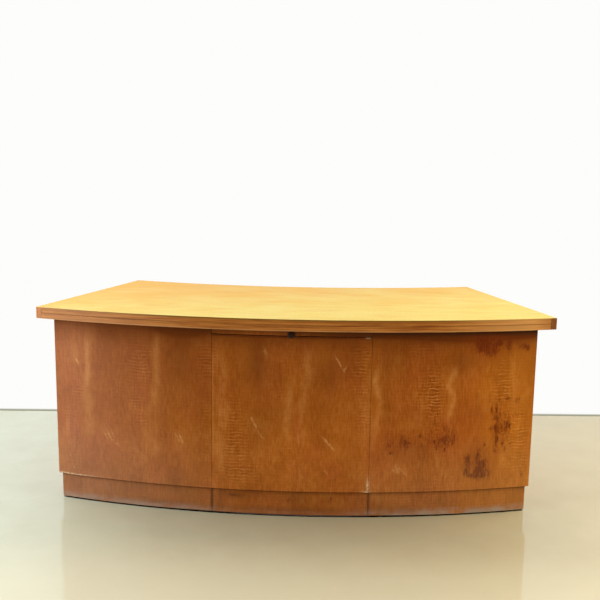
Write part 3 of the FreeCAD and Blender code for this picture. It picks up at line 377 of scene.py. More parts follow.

# %% [markdown]
# ### Painted light and shade, stains and wear
# A painted sheen turns the left end a pinkish tan, and painted warm light turns the right end honey. Painted
# shade darkens the wood just under the overhang of the top, and the plinth under the panels, and the wood is
# a little darker towards the top over most of its height. Old water stains and flecks are islands: a fine
# noise plus the mark's own number, cut off at a level, so that they fill up where the mark is strong and
# break into specks where it is weak. Low on the plinth the veneer is scuffed grey by shoes and brooms, more
# to the sides, where people walk past. A painted shadow lies along the foot, in the corner under the panels
# and under the top, and the lower third is a little greyer, more to the sides.

# %% Painted light and shade
LEFT_SHEEN_MM, WARM_LIGHT_MM = (-260.0, -880.0), (480.0, 900.0)
SHADED_MM, BROAD_SHADE_MM, PANEL_FOOT_MM, PLINTH_SHADE = (600.0, 712.0), (120.0, 700.0), 100.2, 0.2
# Painted light: a pinkish sheen towards the left end.
painted_light = add("MapRange", along, *LEFT_SHEEN_MM, 0.0, 0.2, **SOFT)
# Painted light: warmer and paler towards the right end, along the bow.
painted_warm_light = add("MapRange", along, *WARM_LIGHT_MM, 0.0, 0.3, **SOFT)
painted_warm_light = add("Math", painted_warm_light, on_arc, **TIMES)
# Painted shade: just under the overhang of the top and on the plinth, with the spots of painted shade and
# light, and a little darker towards the top over most of the height.
painted_shade = add("MapRange", height, *SHADED_MM, 0.0, 0.4, **SOFT)
broad = add("MapRange", height, *BROAD_SHADE_MM, 0.0, 0.48)
for part in (broad, own["shade"]):
    painted_shade = add("Math", painted_shade, part, operation="ADD")
below = add("Math", height, PANEL_FOOT_MM, operation="LESS_THAN")
painted_shade = add("Math", below, PLINTH_SHADE, painted_shade, **TIMES_PLUS)
for factor, colour in ((painted_light, linear("#B8968F")), (painted_warm_light, linear("#D38820")), (painted_shade, DEEP)):
    wood = add("Mix", factor, wood, colour, **RGBA)
print("faded from", LEFT_SHEEN_MM[0], "mm to the left and", WARM_LIGHT_MM[0], "mm to the right")

# %% Stains, wear and painted shadow
SCUFFED_MM, BUSY_MM, MIDDLE_MM = (40.0, 3.0), (350.0, 600.0), (150.0, 420.0)
FOOT_SHADOW_SPAN_MM, FOOT_MM = (350.0, 600.0), (8.5, 5.8)
CORNER_MM, UNDER_TOP_MM = (90.0, 99.0), (680.0, 704.0)
UNDER_TOP_SPAN_MM, GREYER_LOW_MM = (-700.0, 700.0), (330.0, 70.0)
# Soft fibres drank more water.
soaked = add("Math", own["stain"], 0.41, noise["soak"], **TIMES_PLUS)
soaked = add("MapRange", soaked, 0.55, 0.92, **SOFT)
drunk = add("MapRange", noise["fibre"], 0.36, 0.62, 1.0, 0.55)
soaked = add("Math", soaked, drunk, **TIMES)
flecked = add("Math", own["fleck"], 0.4, noise["soak"], **TIMES_PLUS)
flecked = add("MapRange", flecked, 0.6, 1.0, 0.0, 0.6, **SOFT)

from_middle = add("Math", along, operation="ABSOLUTE")
passing = add("MapRange", from_middle, *MIDDLE_MM, 0.3, 1.0, **SOFT)
# The lower third is a little greyer, more to the sides.
greyer_low = add("MapRange", height, *GREYER_LOW_MM, 0.0, 0.15)
greyer_low = add("Math", greyer_low, passing, **TIMES)
scuff = add("MapRange", height, *SCUFFED_MM, **SOFT)
scrape = add("MapRange", noise["scrape"], 0.35, 0.65, 0.1, 0.9)
busy = add("MapRange", along, *BUSY_MM, 1.0, 1.6)
for part in (scrape, passing, busy):
    scuff = add("Math", scuff, part, **TIMES)

# Painted shadow: a dark line along the foot, lower at the sides, the corner under the panels, and a strip
# under the top, deeper to the right.
foot_shadow_height = add("MapRange", from_middle, *FOOT_SHADOW_SPAN_MM, *FOOT_MM)
foot = add("Math", height, foot_shadow_height, operation="DIVIDE")
painted_shadow = add("MapRange", foot, 1.0, 0.55, 0.0, 0.97, **SOFT)
corner = add("MapRange", height, *CORNER_MM, 0.0, 0.75, **SOFT)
corner = add("Math", corner, below, **TIMES)
shadow_under_top = add("MapRange", height, *UNDER_TOP_MM, **SOFT)
deeper_to_right = add("MapRange", along, *UNDER_TOP_SPAN_MM, 0.1, 0.8)
shadow_under_top = add("Math", shadow_under_top, deeper_to_right, **TIMES)
for part in (corner, shadow_under_top):
    painted_shadow = add("Math", painted_shadow, part, operation="MAXIMUM")

# Worn arrises are bare in chips of a few millimetres.
chip = add("MapRange", noise["chip"], 0.38, 0.56, 0.15, 1.0)
bare = add("Math", own["worn"], chip, **TIMES)
# The colours go on in turn; the near-black one is the painted shadow.
for factor, colour in (
    (own["reddened"], "#953F0C"), (soaked, "#622102"), (flecked, "#DCA468"), (greyer_low, "#A89478"),
    (scuff, "#AC9482"), (painted_shadow, "#1E120A"), (bare, "#F0D4AC"),
):
    wood = add("Mix", factor, wood, linear(colour), **RGBA)

# Satin lacquer: half matt, a little duller in the clouds, with the grain just felt through it.
dull = add("MapRange", noise["cloud"], 0.3, 0.7, 0.36, 0.5)
bump = add("Bump", sockets={"Strength": 0.25, "Distance": 0.0004, "Height": noise["fibre"]})
lacquer = {"Base Color": wood, "Roughness": dull, "IOR": 1.5, "Specular IOR Level": 0.12, "Normal": bump}
add("OutputMaterial", add("BsdfPrincipled", sockets=lacquer))
print(cherry.name, len(cherry.node_tree.nodes), "nodes")

# %% [markdown]
# ## The gold top
# The same wood lies lengthwise on the top, gold partly where light has faded it and partly by a painted
# sheen of the bright wall and the light above. Its grain runs along the desk, so this material reads the
# plain x and y of the board. It is a little more amber towards the user's side and the left end.

# %% Bleached cherry with a painted sheen
# Length along the grain and width in mm, detail, roughness and distortion. The photograph looks along the
# top, so fibres (4 mm), lines of late wood (12 mm) and the speckle of pores (7 by 14 mm) are drawn too
# coarse, to show.
GOLD = {
    "band": (520, 34, 4.0, 0.55, 0.4),
    "fibre": (150, 4, 4.0, 0.6, 0.0),
    "patch": (260, 170, 2.0, 0.5, 0.0),
    "late_wood": (210, 12, 3.0, 0.6, 0.0),
    "pore": (7, 14, 2.0, 0.5, 0.0),
}
AMBER_WAY = (-0.00015, 0.0005, 0.0)
gold_with_sheen, add = new_material("bleached_cherry_with_painted_sheen")
mm = add("VectorMath", (add("TexCoord"), "Object"), 1000.0, operation="SCALE")
noise = {}
for name, (long, wide, detail, rough, twist) in GOLD.items():
    at = add("VectorMath", mm, (1 / long, 1 / wide, 0.0), **TIMES)
    noise[name] = add("TexNoise", at, 1.0, detail, rough, sockets={"Distortion": twist})
tone = add("MapRange", noise["band"], 0.3, 0.7, **SOFT)
# Partly the bleached wood's colour and partly a painted sheen.
gold = add("Mix", tone, linear("#D7BE62"), linear("#D8CA72"), **RGBA)
thread = add("MapRange", noise["fibre"], 0.35, 0.7, 0.0, 0.3)
darker = add("VectorMath", mm, AMBER_WAY, operation="DOT_PRODUCT")
amber = add("Math", noise["patch"], 0.5, darker, **TIMES_PLUS)
amber = add("MapRange", amber, 0.05, 0.5, 0.0, 0.85, **SOFT)
late = add("MapRange", noise["late_wood"], 0.48, 0.72, 0.0, 0.55, **SOFT)
pore = add("MapRange", noise["pore"], 0.42, 0.7, 0.0, 0.3)
for factor, colour in ((thread, "#CEA64E"), (amber, "#D8A44C"), (late, "#C88A3C"), (pore, "#CC9C4A")):
    gold = add("Mix", factor, gold, linear(colour), **RGBA)
dull = add("MapRange", noise["patch"], 0.3, 0.7, 0.42, 0.55)
bump = add("Bump", sockets={"Strength": 0.2, "Distance": 0.0004, "Height": noise["fibre"]})
lacquer = {"Base Color": gold, "Roughness": dull, "IOR": 1.5, "Specular IOR Level": 0.12, "Normal": bump}
add("OutputMaterial", add("BsdfPrincipled", sockets=lacquer))
print(gold_with_sheen.name, len(gold_with_sheen.node_tree.nodes), "nodes")

# %% [markdown]
# ## Edge strips and end grain
# The edge of the top is lipped with strips of the same cherry, with the grain along the edge. A dark line
# runs just under the upper arris, the lower arris is paler, and dirt has settled in the joint between the
# two boards. A painted sheen pales the left end of the edge and painted warm light the right end. At the two
# front corners the solid end lippings show end grain, which drinks more lacquer and looks darker; a painted
# sheen pales it at the left. Hands that come round the right end have darkened it.

# %% Cherry edge strip
UPPER_ARRIS_MM, LOWER_ARRIS_MM = (741.0, 748.0), (714.0, 708.5)
JOINT_MM, JOINT_REACH_MM, HANDLED_MM = 728.5, (2.6, 0.6), (880.0, 960.0)
STRAND_LONG_MM, STRAND_WIDE_MM = 180, 6
edge_strip, add = new_material("cherry_edge_strip")
mm = add("VectorMath", add("UVMap", uv_map="grain"), 1000.0, operation="SCALE")
place = add("SeparateXYZ", mm)
along, height = (place, "X"), (place, "Y")
at = add("VectorMath", mm, (1 / STRAND_LONG_MM, 1 / STRAND_WIDE_MM, 0.0), **TIMES)
band = add("TexNoise", at, 1.0, 4.0, 0.6)
tone = add("MapRange", band, 0.32, 0.68, **SOFT)
wood = add("Mix", tone, linear("#8A4A16"), linear("#BC7834"), **RGBA)
from_joint = add("Math", height, JOINT_MM, operation="SUBTRACT")
from_joint = add("Math", from_joint, operation="ABSOLUTE")
# Down the edge: a dark line under the upper arris, a paler lower arris, a painted sheen at the left end,
# painted warm light at the right end, a dark joint and a darker right end.
for value, limits, most, colour in (
    (height, UPPER_ARRIS_MM, 0.7, "#6A4E12"),
    (height, LOWER_ARRIS_MM, 0.35, "#D4A06A"),
    (along, LEFT_SHEEN_MM, 0.38, "#DDA278"),
    (along, WARM_LIGHT_MM, 0.65, "#DAA262"),
    (from_joint, JOINT_REACH_MM, 0.5, "#5A2A0A"),
    (along, HANDLED_MM, 0.5, "#8E4C14"),
):
    factor = add("MapRange", value, *limits, 0.0, most, **SOFT)
    wood = add("Mix", factor, wood, linear(colour), **RGBA)
bump = add("Bump", sockets={"Strength": 0.3, "Distance": 0.0004, "Height": band})
lacquer = {"Base Color": wood, "Roughness": 0.38, "IOR": 1.5, "Specular IOR Level": 0.25, "Normal": bump}
add("OutputMaterial", add("BsdfPrincipled", sockets=lacquer))
print(edge_strip.name, len(edge_strip.node_tree.nodes), "nodes")

# %% Cherry end grain
PORE_MM, RING_MM = 3.0, 14.0
LEFT_SHEEN, RIGHT_SOILED = (0.0, -0.9), (0.0, 0.9)
end_grain, add = new_material("cherry_end_grain")
where = (add("TexCoord"), "Object")
pores = add("TexNoise", where, 1000 / PORE_MM, 2.0)
rings = add("TexNoise", where, 1000 / RING_MM, 3.0)
speck = add("Math", pores, rings, **TIMES)
dark = add("MapRange", speck, 0.14, 0.36, **SOFT)
wood = add("Mix", dark, linear("#8E5428"), linear("#A86C3C"), **RGBA)
across = add("SeparateXYZ", where)
# A painted sheen pales the left end grain; the right end is soiled darker.
for limits, most, colour in ((LEFT_SHEEN, 0.85, "#C88456"), (RIGHT_SOILED, 0.6, "#6A3C18")):
    factor = add("MapRange", (across, "X"), *limits, 0.0, most)
    wood = add("Mix", factor, wood, linear(colour), **RGBA)
lacquer = {"Base Color": wood, "Roughness": 0.55, "IOR": 1.5, "Specular IOR Level": 0.25}
add("OutputMaterial", add("BsdfPrincipled", sockets=lacquer))
print(end_grain.name, len(end_grain.node_tree.nodes), "nodes")

# %% [markdown]
# ## Boards struck from one centre
# Every curved face of the desk is part of a circle about one point behind the user, and every board lies
# between two radii, two heights and two lines across. So one surface makes them all: a rectangle with
# rounded corners, in the plane of radius and height, is carried along the arc from the left line to the
# right line. A box with a Bevel modifier would need its curve first. Here the easing is in the formula, at
# the ends as well.

# %% A board's section
FRONT_RADIUS, TOP_LENGTH, TOP_DEPTH = 3.356, 1.934, 0.762
REAR_RADIUS = FRONT_RADIUS - TOP_DEPTH
HALF_ANGLE = math.asin(TOP_LENGTH / 2 / FRONT_RADIUS)
CENTRE_Y = (FRONT_RADIUS + REAR_RADIUS * math.cos(HALF_ANGLE)) / 2
CORNER_STEPS = 3


def beside_end(side, inset):
    """A line inside an end of the top by an inset: the end's angle less asin(inset / r) at radius r."""
    return lambda radius: side * (HALF_ANGLE - np.arcsin(inset / radius))


def fore_and_aft(x):
    """A line straight from front to rear at an x. It crosses radius r at asin(x / r)."""
    return lambda radius: np.arcsin(x / radius)


def in_order(*lines):
    """Lines in order from left to right."""
    return sorted(lines, key=lambda line: float(line(FRONT_RADIUS)))


def eased_section(rear, front, low, high, ease, rows):
    """A rectangle with round corners: corner centre plus ease times (cos t, sin t), with t once round.

    It starts at the upper end of the front face and goes over the top and down the rear. rows are the points
    on the top, rear, bottom and front flats. A column is radius, height and the outward normal's two parts.
    """
    quarter = np.linspace(0, math.pi / 2, CORNER_STEPS + 1)
    radii = np.array([front - ease, rear + ease, rear + ease, front - ease])
    heights = np.array([high - ease, high - ease, low + ease, low + ease])
    turns = quarter + np.arange(4)[:, None] * math.pi / 2
    out = np.stack([np.cos(turns), np.sin(turns)])
    corners = np.concatenate([np.stack([radii, heights])[:, :, None] + ease * out, out])
    pieces = []
    for k in range(4):
        first, second = corners[:, k, -1], corners[:, (k + 1) % 4, 0]
        steps = np.linspace(0, 1, rows[k] + 2)[1:-1]
        pieces += [corners[:, k], first[:, None] + (second - first)[:, None] * steps]
    return np.concatenate(pieces, axis=1)


print("centre of the arcs at y", round(CENTRE_Y, 4), "m, half angle", round(math.degrees(HALF_ANGLE), 3))

# %% A section carried along the arc
EASE, ALONG, PLAIN_ROWS = 0.0012, 0.02, (0, 0, 0, 0)
END_TIGHTNESS, NUDGE = 0.94, 1e-4


def eased_board(name, radii, heights, lines, ease=EASE, along=ALONG, rows=PLAIN_ROWS, shift=0.0):
    """The section carried along the arc. Row i stands at a share of the way from the left to the right line.

    At each end the section draws in by ease * (1 - cos p) while the sweep stops short by ease * (1 - sin p),
    p from 0 to a right angle, which rounds the end's arrises. The map "grain" is arc length and height, and
    radius and height on the two end faces. shift moves the grain along, so that no two boards look alike.
    """
    front, (left, right) = radii[1], lines
    radius, height, out, up = eased_section(*radii, *heights, ease, rows)
    span = front * float(np.max(right(front) - left(front)))
    p = np.linspace(math.pi / 2, 0, CORNER_STEPS + 1)
    inner = np.linspace(0, 1, max(2, round(span / along)) + 1)[1:-1]
    share = np.concatenate([0 * p, inner, 0 * p + 1])
    lean = np.concatenate([p, 0 * inner, p[::-1]])
    facing = np.concatenate([0 * p - 1, 0 * inner, 0 * p + 1])
    draw = END_TIGHTNESS * ease * (1 - np.cos(lean))
    short = -facing * ease * (1 - np.sin(lean))

    r = radius[None, :] - draw[:, None] * out[None, :]
    z = height[None, :] - draw[:, None] * up[None, :]
    from_left, from_right = left(r), right(r)
    angle = from_left + share[:, None] * (from_right - from_left) + short[:, None] / r
    points = np.stack([r * np.sin(angle), CENTRE_Y - r * np.cos(angle), z], axis=-1)

    turn_left, turn_right = (line(r + NUDGE) - line(r - NUDGE) for line in lines)
    slope = r * np.where(share[:, None] < 0.5, turn_left, turn_right) / (2 * NUDGE)
    radial = np.stack([np.sin(angle), -np.cos(angle), 0 * angle], axis=-1)
    tangent = np.stack([np.cos(angle), np.sin(angle), 0 * angle], axis=-1)
    across = (tangent - slope[..., None] * radial) / np.sqrt(1 + slope**2)[..., None] * facing[:, None, None]
    skin = out[None, :, None] * radial + up[None, :, None] * np.array([0.0, 0.0, 1.0])
    normals = np.cos(lean)[:, None, None] * skin + np.sin(lean)[:, None, None] * across

    index = np.arange(angle.size).reshape(angle.shape)
    beyond = np.roll(index, -1, axis=1)
    quads = np.stack([index[:-1], index[1:], beyond[1:], beyond[:-1]], axis=-1).reshape(-1, 4)
    caps = np.stack([index[0], index[-1][::-1]])
    made = new_mesh(name, points, quads.tolist() + caps.tolist())
    made.data.shade_smooth()
    flat = np.stack([front * angle + shift, z], axis=-1).reshape(-1, 2)
    ends = np.stack([r + shift, z], axis=-1).reshape(-1, 2)
    grain = np.concatenate([flat[quads.ravel()], ends[caps.ravel()]])
    made.data.uv_layers.new(name="grain").uv.foreach_set("vector", grain.astype(np.float32).ravel())
    made.data.normals_split_custom_set_from_vertices(normals.reshape(-1, 3).tolist())
    outward = np.broadcast_to(out, angle.shape)
    return made, {"arc": front * angle, "height": z, "out": outward, "facets": np.stack([out, up], axis=1)}


def dress(piece, body, slot, *materials, node=None):
    """Gives a piece its materials, the body that carries it and the CAD node that it stands for."""
    for material in materials:
        piece.data.materials.append(material)
    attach(piece, body)
    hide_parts(node or piece.name.removesuffix("_eased"))
    print(piece.name, "on", body, len(piece.data.polygons), "faces")


print("boards eased by", EASE * 1000, "mm")

# %% [markdown]
# ## The top
# Two boards lie one on the other, and the joint shows as a line round the edge. Solid lippings close the
# ends. The faces that look up take the bleached veneer, the edges take the strip, and the front and rear
# ends of the lippings show end grain.

# %% Top boards and lippings
TOP_HEIGHT, TOP_JOINT, TOP_UNDERSIDE, LIPPING = 0.750, 0.7285, 0.707, 0.024
TOP_RADII, TOP_EASE, LIPPING_EASE = (REAR_RADIUS, FRONT_RADIUS), 0.0006, 0.001
LEFT, RIGHT, FLATLY = -1, 1, 0.72
SIDES = (("left", LEFT), ("right", RIGHT))
UPWARD, SIDEWAYS, ENDWAYS = 0, 1, 2


def choose_faces(piece, facets, fore_and_rear):
    """Material of each strip of faces by its outward direction, alike in every row. End caps are edges."""
    out, up = ((facets + np.roll(facets, -1, axis=0)) / 2).T
    strips = np.where(up > FLATLY, UPWARD, np.where(np.abs(out) > FLATLY, fore_and_rear, SIDEWAYS))
    rows = (len(piece.data.polygons) - 2) // len(strips)
    chosen = np.concatenate([np.tile(strips, rows), [SIDEWAYS, SIDEWAYS]])
    piece.data.polygons.foreach_set("material_index", chosen.astype(np.int32))


ends = beside_end(LEFT, LIPPING), beside_end(RIGHT, LIPPING)
for word, heights in (("upper", (TOP_JOINT, TOP_HEIGHT)), ("lower", (TOP_UNDERSIDE, TOP_JOINT))):
    piece, about = eased_board(f"top_{word}_board_eased", TOP_RADII, heights, ends, ease=TOP_EASE)
    dress(piece, "desk", "top_veneer", gold_with_sheen, edge_strip)
    choose_faces(piece, about["facets"], SIDEWAYS)
for word, side in SIDES:
    lines = in_order(beside_end(side, 0.0), beside_end(side, LIPPING))
    name, heights = f"top_{word}_end_lipping_eased", (TOP_UNDERSIDE, TOP_HEIGHT)
    piece, about = eased_board(name, TOP_RADII, heights, lines, ease=LIPPING_EASE)
    dress(piece, "desk", "top_veneer", gold_with_sheen, edge_strip, end_grain)
    choose_faces(piece, about["facets"], ENDWAYS)

# %% [markdown]
# ## The front panels and their marks
# Three bent panels stand side by side with fine seams. Their marks are fields on a 3 mm grid: each is a
# sum of soft round or long spots, worked out for all points at once. Pale streaks wander up the leaves,
# flecks slant across them, and ripples lie in patches. Water has stained and reddened the right panel, the
# lower arris is rubbed pale at the left end, and a splinter has gone from the right seam. Painting an
# image would do as well for one board. Numbers on the points follow the board's own shape and stay sharp
# at any size.

# %% Soft spots
OVERLAP = 0.62


def spots(arc, height, table):
    """Sum of soft spots: rows of arc, height, half length, half width (mm), slope (degrees) and strength.

    A spot is strength * exp(-(a/length)^2 - (b/width)^2), with a and b measured along and across its slope.
    """
    s, z, length, width, slope, strength = (np.array(column, float) for column in zip(*table))
    ds = arc[..., None] * 1000 - s
    dz = height[..., None] * 1000 - z
    turn = np.radians(slope)
    along = ds * np.cos(turn) + dz * np.sin(turn)
    across = dz * np.cos(turn) - ds * np.sin(turn)
    return (strength * np.exp(-((along / length) ** 2) - (across / width) ** 2)).sum(axis=-1)


def strokes(*table):
    """Spots along lines of points, from rows of half width, strength and the points.

    Each run from point to point has one spot, a little longer than the run, so that the spots overlap.
    """
    made = []
    for width, strength, *points in table:
        points = np.array(points, float)
        (ds, dz), (s, z) = np.diff(points, axis=0).T, ((points[:-1] + points[1:]) / 2).T
        length, slope = OVERLAP * np.hypot(ds, dz), np.degrees(np.arctan2(dz, ds))
        made += zip(s, z, length, 0 * s + width, slope, 0 * s + strength)
    return made


def blots(*table):
    """Upright spots from rows of arc, height, half width, half height and strength."""
    return [(s, z, wide, tall, 0, strength) for s, z, wide, tall, strength in table]


def mark(piece, name, values):
    """Keeps a number per point on a piece, for its material to read."""
    layer = piece.data.attributes.new(name, "FLOAT", "POINT")
    layer.data.foreach_set("value", np.clip(values, -1.0, 1.0).astype(np.float32).ravel())


STREAKS = strokes(
    (11, 0.65, (-775, 645), (-775, 525), (-780, 465)), (20, 0.4, (-785, 450), (-765, 335), (-770, 265)),
    (13, 0.65, (-495, 670), (-500, 590)), (15, 0.45, (-500, 590), (-495, 515), (-515, 410)),
    (11, 0.5, (-865, 340), (-870, 255)), (20, 0.3, (-545, 320), (-515, 270), (-510, 215)),
    (14, 0.35, (-835, 625), (-820, 565)), (17, 0.35, (-260, 660), (-250, 550), (-260, 310), (-255, 180)),
    (16, 0.55, (60, 625), (58, 575), (68, 540)), (14, 0.4, (68, 540), (55, 490), (40, 385)),
    (14, 0.45, (0, 520), (-10, 410), (-15, 345), (0, 295)), (5, 0.4, (25, 335), (30, 285)),
    (23, 0.42, (270, 485), (280, 275)), (12, 0.6, (315, 570), (305, 520), (325, 435), (310, 320)),
    (10, 0.8, (605, 575), (585, 530), (572, 502), (588, 480), (600, 455), (590, 420), (580, 370)),
    (15, 0.5, (820, 625), (830, 455)), (7, 0.4, (540, 265), (545, 205)), (15, 0.45, (800, 250), (800, 180)),
    (7, 0.4, (670, 205), (685, 170)), (4, 0.5, (-286, 640), (-286, 450), (-286, 260)),
) + blots(
    (-695, 280, 25, 28, 0.35), (-415, 280, 22, 28, 0.3), (400, 190, 30, 20, 0.3), (-125, 350, 20, 35, 0.25),
)
FLECKS = strokes(
    (4, 1.0, (-705, 300), (-680, 255)), (4, 0.9, (-692, 308), (-668, 262)),
    (4, 0.8, (-715, 290), (-698, 258)), (5, 0.7, (-675, 255), (-648, 230)),
    (4, 0.9, (-432, 308), (-412, 270)), (4, 0.9, (-420, 312), (-400, 275)),
    (5, 0.6, (-405, 275), (-388, 252)), (6, 1.0, (-828, 570), (-810, 538)),
    (5, 0.6, (-655, 218), (-645, 195)), (5, 0.5, (-675, 605), (-665, 575)),
    (4, 0.9, (-862, 190), (-855, 168)), (4, 0.8, (-850, 142), (-840, 122)),
    (4, 1.0, (-148, 385), (-120, 335)), (4, 0.8, (-112, 318), (-95, 298)),
    (5, 1.0, (118, 312), (140, 288), (162, 262)), (4, 0.9, (155, 620), (190, 560)),
    (4, 0.8, (190, 560), (200, 578)), (7, 0.5, (-100, 640), (-85, 610)), (4, 0.8, (122, 188), (142, 168)),
    (4, 0.9, (385, 205), (402, 172)), (5, 1.0, (402, 195), (432, 162)), (6, 0.7, (372, 190), (392, 175)),
)
print(len(STREAKS), "spots of streaks and", len(FLECKS), "of flecks")

# %% Ripples, stains and shades
RIPPLES = blots(
    (-565, 565, 40, 75, 0.9), (-580, 410, 25, 20, 0.8), (-555, 350, 20, 25, 0.6), (-310, 585, 30, 55, 0.9),
    (-810, 435, 30, 25, 0.7), (-205, 350, 40, 75, 0.7), (-200, 255, 40, 50, 0.8), (-180, 165, 60, 35, 1.0),
    (255, 620, 35, 25, 0.8), (250, 560, 35, 25, 0.8), (255, 495, 35, 20, 0.6), (265, 380, 25, 40, 0.8),
    (-50, 470, 25, 10, 0.7), (520, 500, 35, 50, 1.0), (520, 425, 30, 35, 0.8), (785, 490, 35, 55, 1.0),
    (855, 370, 35, 40, 0.7), (860, 290, 35, 50, 1.0), (860, 200, 40, 25, 1.0), (460, 640, 45, 20, 0.5),
)
STAINS = blots(
    (720, 650, 45, 40, 0.6), (685, 655, 25, 35, 0.55), (700, 648, 14, 12, 0.4), (735, 630, 20, 20, 0.6),
    (765, 660, 12, 12, 0.8), (800, 650, 12, 25, 0.8), (860, 645, 18, 12, 0.7), (875, 635, 7, 12, 0.8),
    (805, 450, 15, 10, 0.9), (845, 440, 10, 15, 0.9), (775, 445, 10, 5, 0.6), (735, 440, 5, 10, 0.6),
    (745, 410, 5, 15, 0.6), (765, 410, 5, 15, 0.7), (770, 375, 10, 15, 0.7), (770, 335, 15, 15, 0.85),
    (770, 290, 5, 15, 0.8), (765, 250, 5, 10, 1.0), (795, 275, 5, 15, 0.9), (805, 255, 5, 10, 0.8),
    (825, 275, 5, 5, 0.8), (745, 335, 5, 10, 0.7), (810, 345, 15, 20, 0.65), (725, 275, 5, 10, 1.0),
    (660, 215, 12, 28, 1.0), (655, 170, 12, 18, 1.0), (675, 155, 12, 8, 0.9), (700, 235, 8, 28, 0.9),
    (720, 195, 18, 24, 1.0), (700, 160, 18, 18, 1.0), (745, 165, 7, 12, 1.0), (725, 155, 8, 12, 1.0),
    (570, 295, 24, 22, 0.45), (595, 295, 18, 22, 0.4), (575, 340, 24, 30, 0.5), (570, 260, 7, 12, 0.7),
    (605, 320, 10, 25, 0.5), (530, 295, 5, 5, 0.7), (540, 265, 5, 15, 0.6), (530, 370, 5, 15, 0.6),
    (485, 275, 5, 15, 0.6), (475, 315, 10, 10, 0.6), (360, 280, 10, 35, 0.5), (370, 250, 10, 10, 0.8),
    (405, 325, 5, 15, 0.6), (425, 290, 20, 25, 0.65), (880, 150, 5, 15, 0.8), (770, 385, 28, 60, 0.45),
    (770, 290, 22, 45, 0.45), (810, 340, 22, 60, 0.4), (545, 290, 55, 28, 0.35), (500, 335, 35, 45, 0.2),
    (700, 195, 34, 48, 0.3), (720, 645, 60, 45, 0.2), (840, 650, 40, 25, 0.2), (400, 285, 50, 30, 0.2),
    (535, 420, 30, 40, 0.3), (850, 390, 30, 30, 0.3),
)
REDDENED = blots(
    (645, 400, 90, 140, 0.25), (540, 300, 75, 60, 0.4), (720, 650, 85, 50, 0.35), (695, 195, 60, 55, 0.35),
    (775, 350, 45, 110, 0.25), (400, 285, 70, 45, 0.25),
)
# Painted shade and painted light: a shade darkens the wood, and a negative one lightens it. The long thin
# spots just under the top paint the shadow of its overhang.
SHADES = blots(
    (-335, 450, 60, 220, 0.15), (-125, 570, 50, 90, 0.35), (-440, 140, 40, 60, 0.25),
    (-120, 350, 40, 60, 0.15), (440, 270, 50, 60, 0.2), (600, 699, 380, 15, 0.75),
    (-400, 692, 90, 18, 0.35), (380, 600, 60, 50, 0.15), (-850, 600, 70, 160, -0.3),
    (-770, 560, 40, 120, -0.15), (700, 500, 130, 110, -0.2), (600, 300, 60, 40, -0.2),
    (60, 230, 120, 60, -0.15), (-760, 130, 120, 50, 0.2), (-440, 500, 50, 160, 0.1),
    (640, 600, 80, 40, 0.12), (-640, 640, 90, 50, 0.1), (-400, 400, 200, 260, 0.05),
    (-570, 400, 50, 120, -0.13), (420, 420, 90, 80, -0.1), (690, 690, 200, 28, 0.45),
    (360, 400, 30, 90, 0.15), (440, 400, 40, 40, 0.2), (640, 590, 70, 40, 0.1), (-850, 280, 40, 60, -0.15),
    (690, 240, 40, 50, 0.12), (130, 550, 50, 80, 0.25), (220, 600, 50, 60, 0.15), (-60, 400, 60, 80, 0.12),
    (-120, 290, 40, 60, 0.1), (90, 115, 150, 22, -0.35), (-400, 600, 60, 90, 0.2),
    (-680, 300, 40, 30, 0.12), (-680, 130, 40, 40, 0.12), (-600, 550, 40, 60, 0.12),
    (600, 570, 50, 60, 0.15), (680, 400, 40, 50, 0.15), (760, 330, 30, 90, -0.25), (770, 200, 30, 40, -0.2),
    (-440, 115, 40, 30, 0.2), (350, 620, 40, 50, 0.06), (800, 350, 50, 50, -0.2), (675, 190, 40, 60, 0.15),
)
# Painted shadow on the top of the centre panel, in the gap under the slide's lip.
SLOT_SHADOW = blots((0, 684, 400, 4, 0.8))
WORN = blots(
    (-900, 101, 60, 4, 1.0), (-810, 101, 60, 3, 0.8), (288, 128, 5, 22, 1.0), (285, 101, 15, 4, 1.0),
    (275, 683, 10, 3, 0.35),
)
print(len(STAINS), "spots of stain and", len(SHADES), "of shade")

# %% Panels
BODY_FRONT, PANEL = 3.3373, 0.020
PANEL_BACK = BODY_FRONT - PANEL
BODY_LOW, BODY_HIGH, CENTRE_HIGH = 0.100, 0.707, 0.6848
SEAM, CENTRE_HALF, END_OVERHANG = 0.2904, 0.2896, 0.064
FINE, FORWARD = 0.003, 0.3


def mark_front(piece, about, tables):
    """Marks a piece where it faces forward, from a table of spots for each name."""
    front = about["out"] > FORWARD
    mark(piece, "drawn", 1.0 * front)
    for name, table in tables.items():
        mark(piece, name, spots(about["arc"], about["height"], table) * front)


centre_lines = fore_and_aft(-CENTRE_HALF), fore_and_aft(CENTRE_HALF)
for word, high, lines, shades in (
    ("left", BODY_HIGH, (beside_end(LEFT, END_OVERHANG), fore_and_aft(-SEAM)), SHADES),
    ("centre", CENTRE_HIGH, centre_lines, SHADES + SLOT_SHADOW),
    ("right", BODY_HIGH, (fore_and_aft(SEAM), beside_end(RIGHT, END_OVERHANG)), SHADES),
):
    radii, heights = (PANEL_BACK, BODY_FRONT), (BODY_LOW, high)
    rows = (0, 0, 0, round((high - BODY_LOW) / FINE))
    piece, about = eased_board(f"{word}_front_panel_eased", radii, heights, lines, along=FINE, rows=rows)
    dress(piece, "desk", "body_veneer", cherry)
    tables = {"pale": STREAKS, "fleck": FLECKS, "ripple": RIPPLES, "stain": STAINS, "reddened": REDDENED}
    mark_front(piece, about, {**tables, "shade": shades, "worn": WORN})

# %% [markdown]
# ## Plinth, sides and floors of the pedestals
# The plinth stands back by a finger's width under the panels. The sides run back from the panels: the
# inner ones straight, the outer ones beside the ends of the top. They are the same surface with the sweep
# across their thickness, so that their large faces are the end caps.

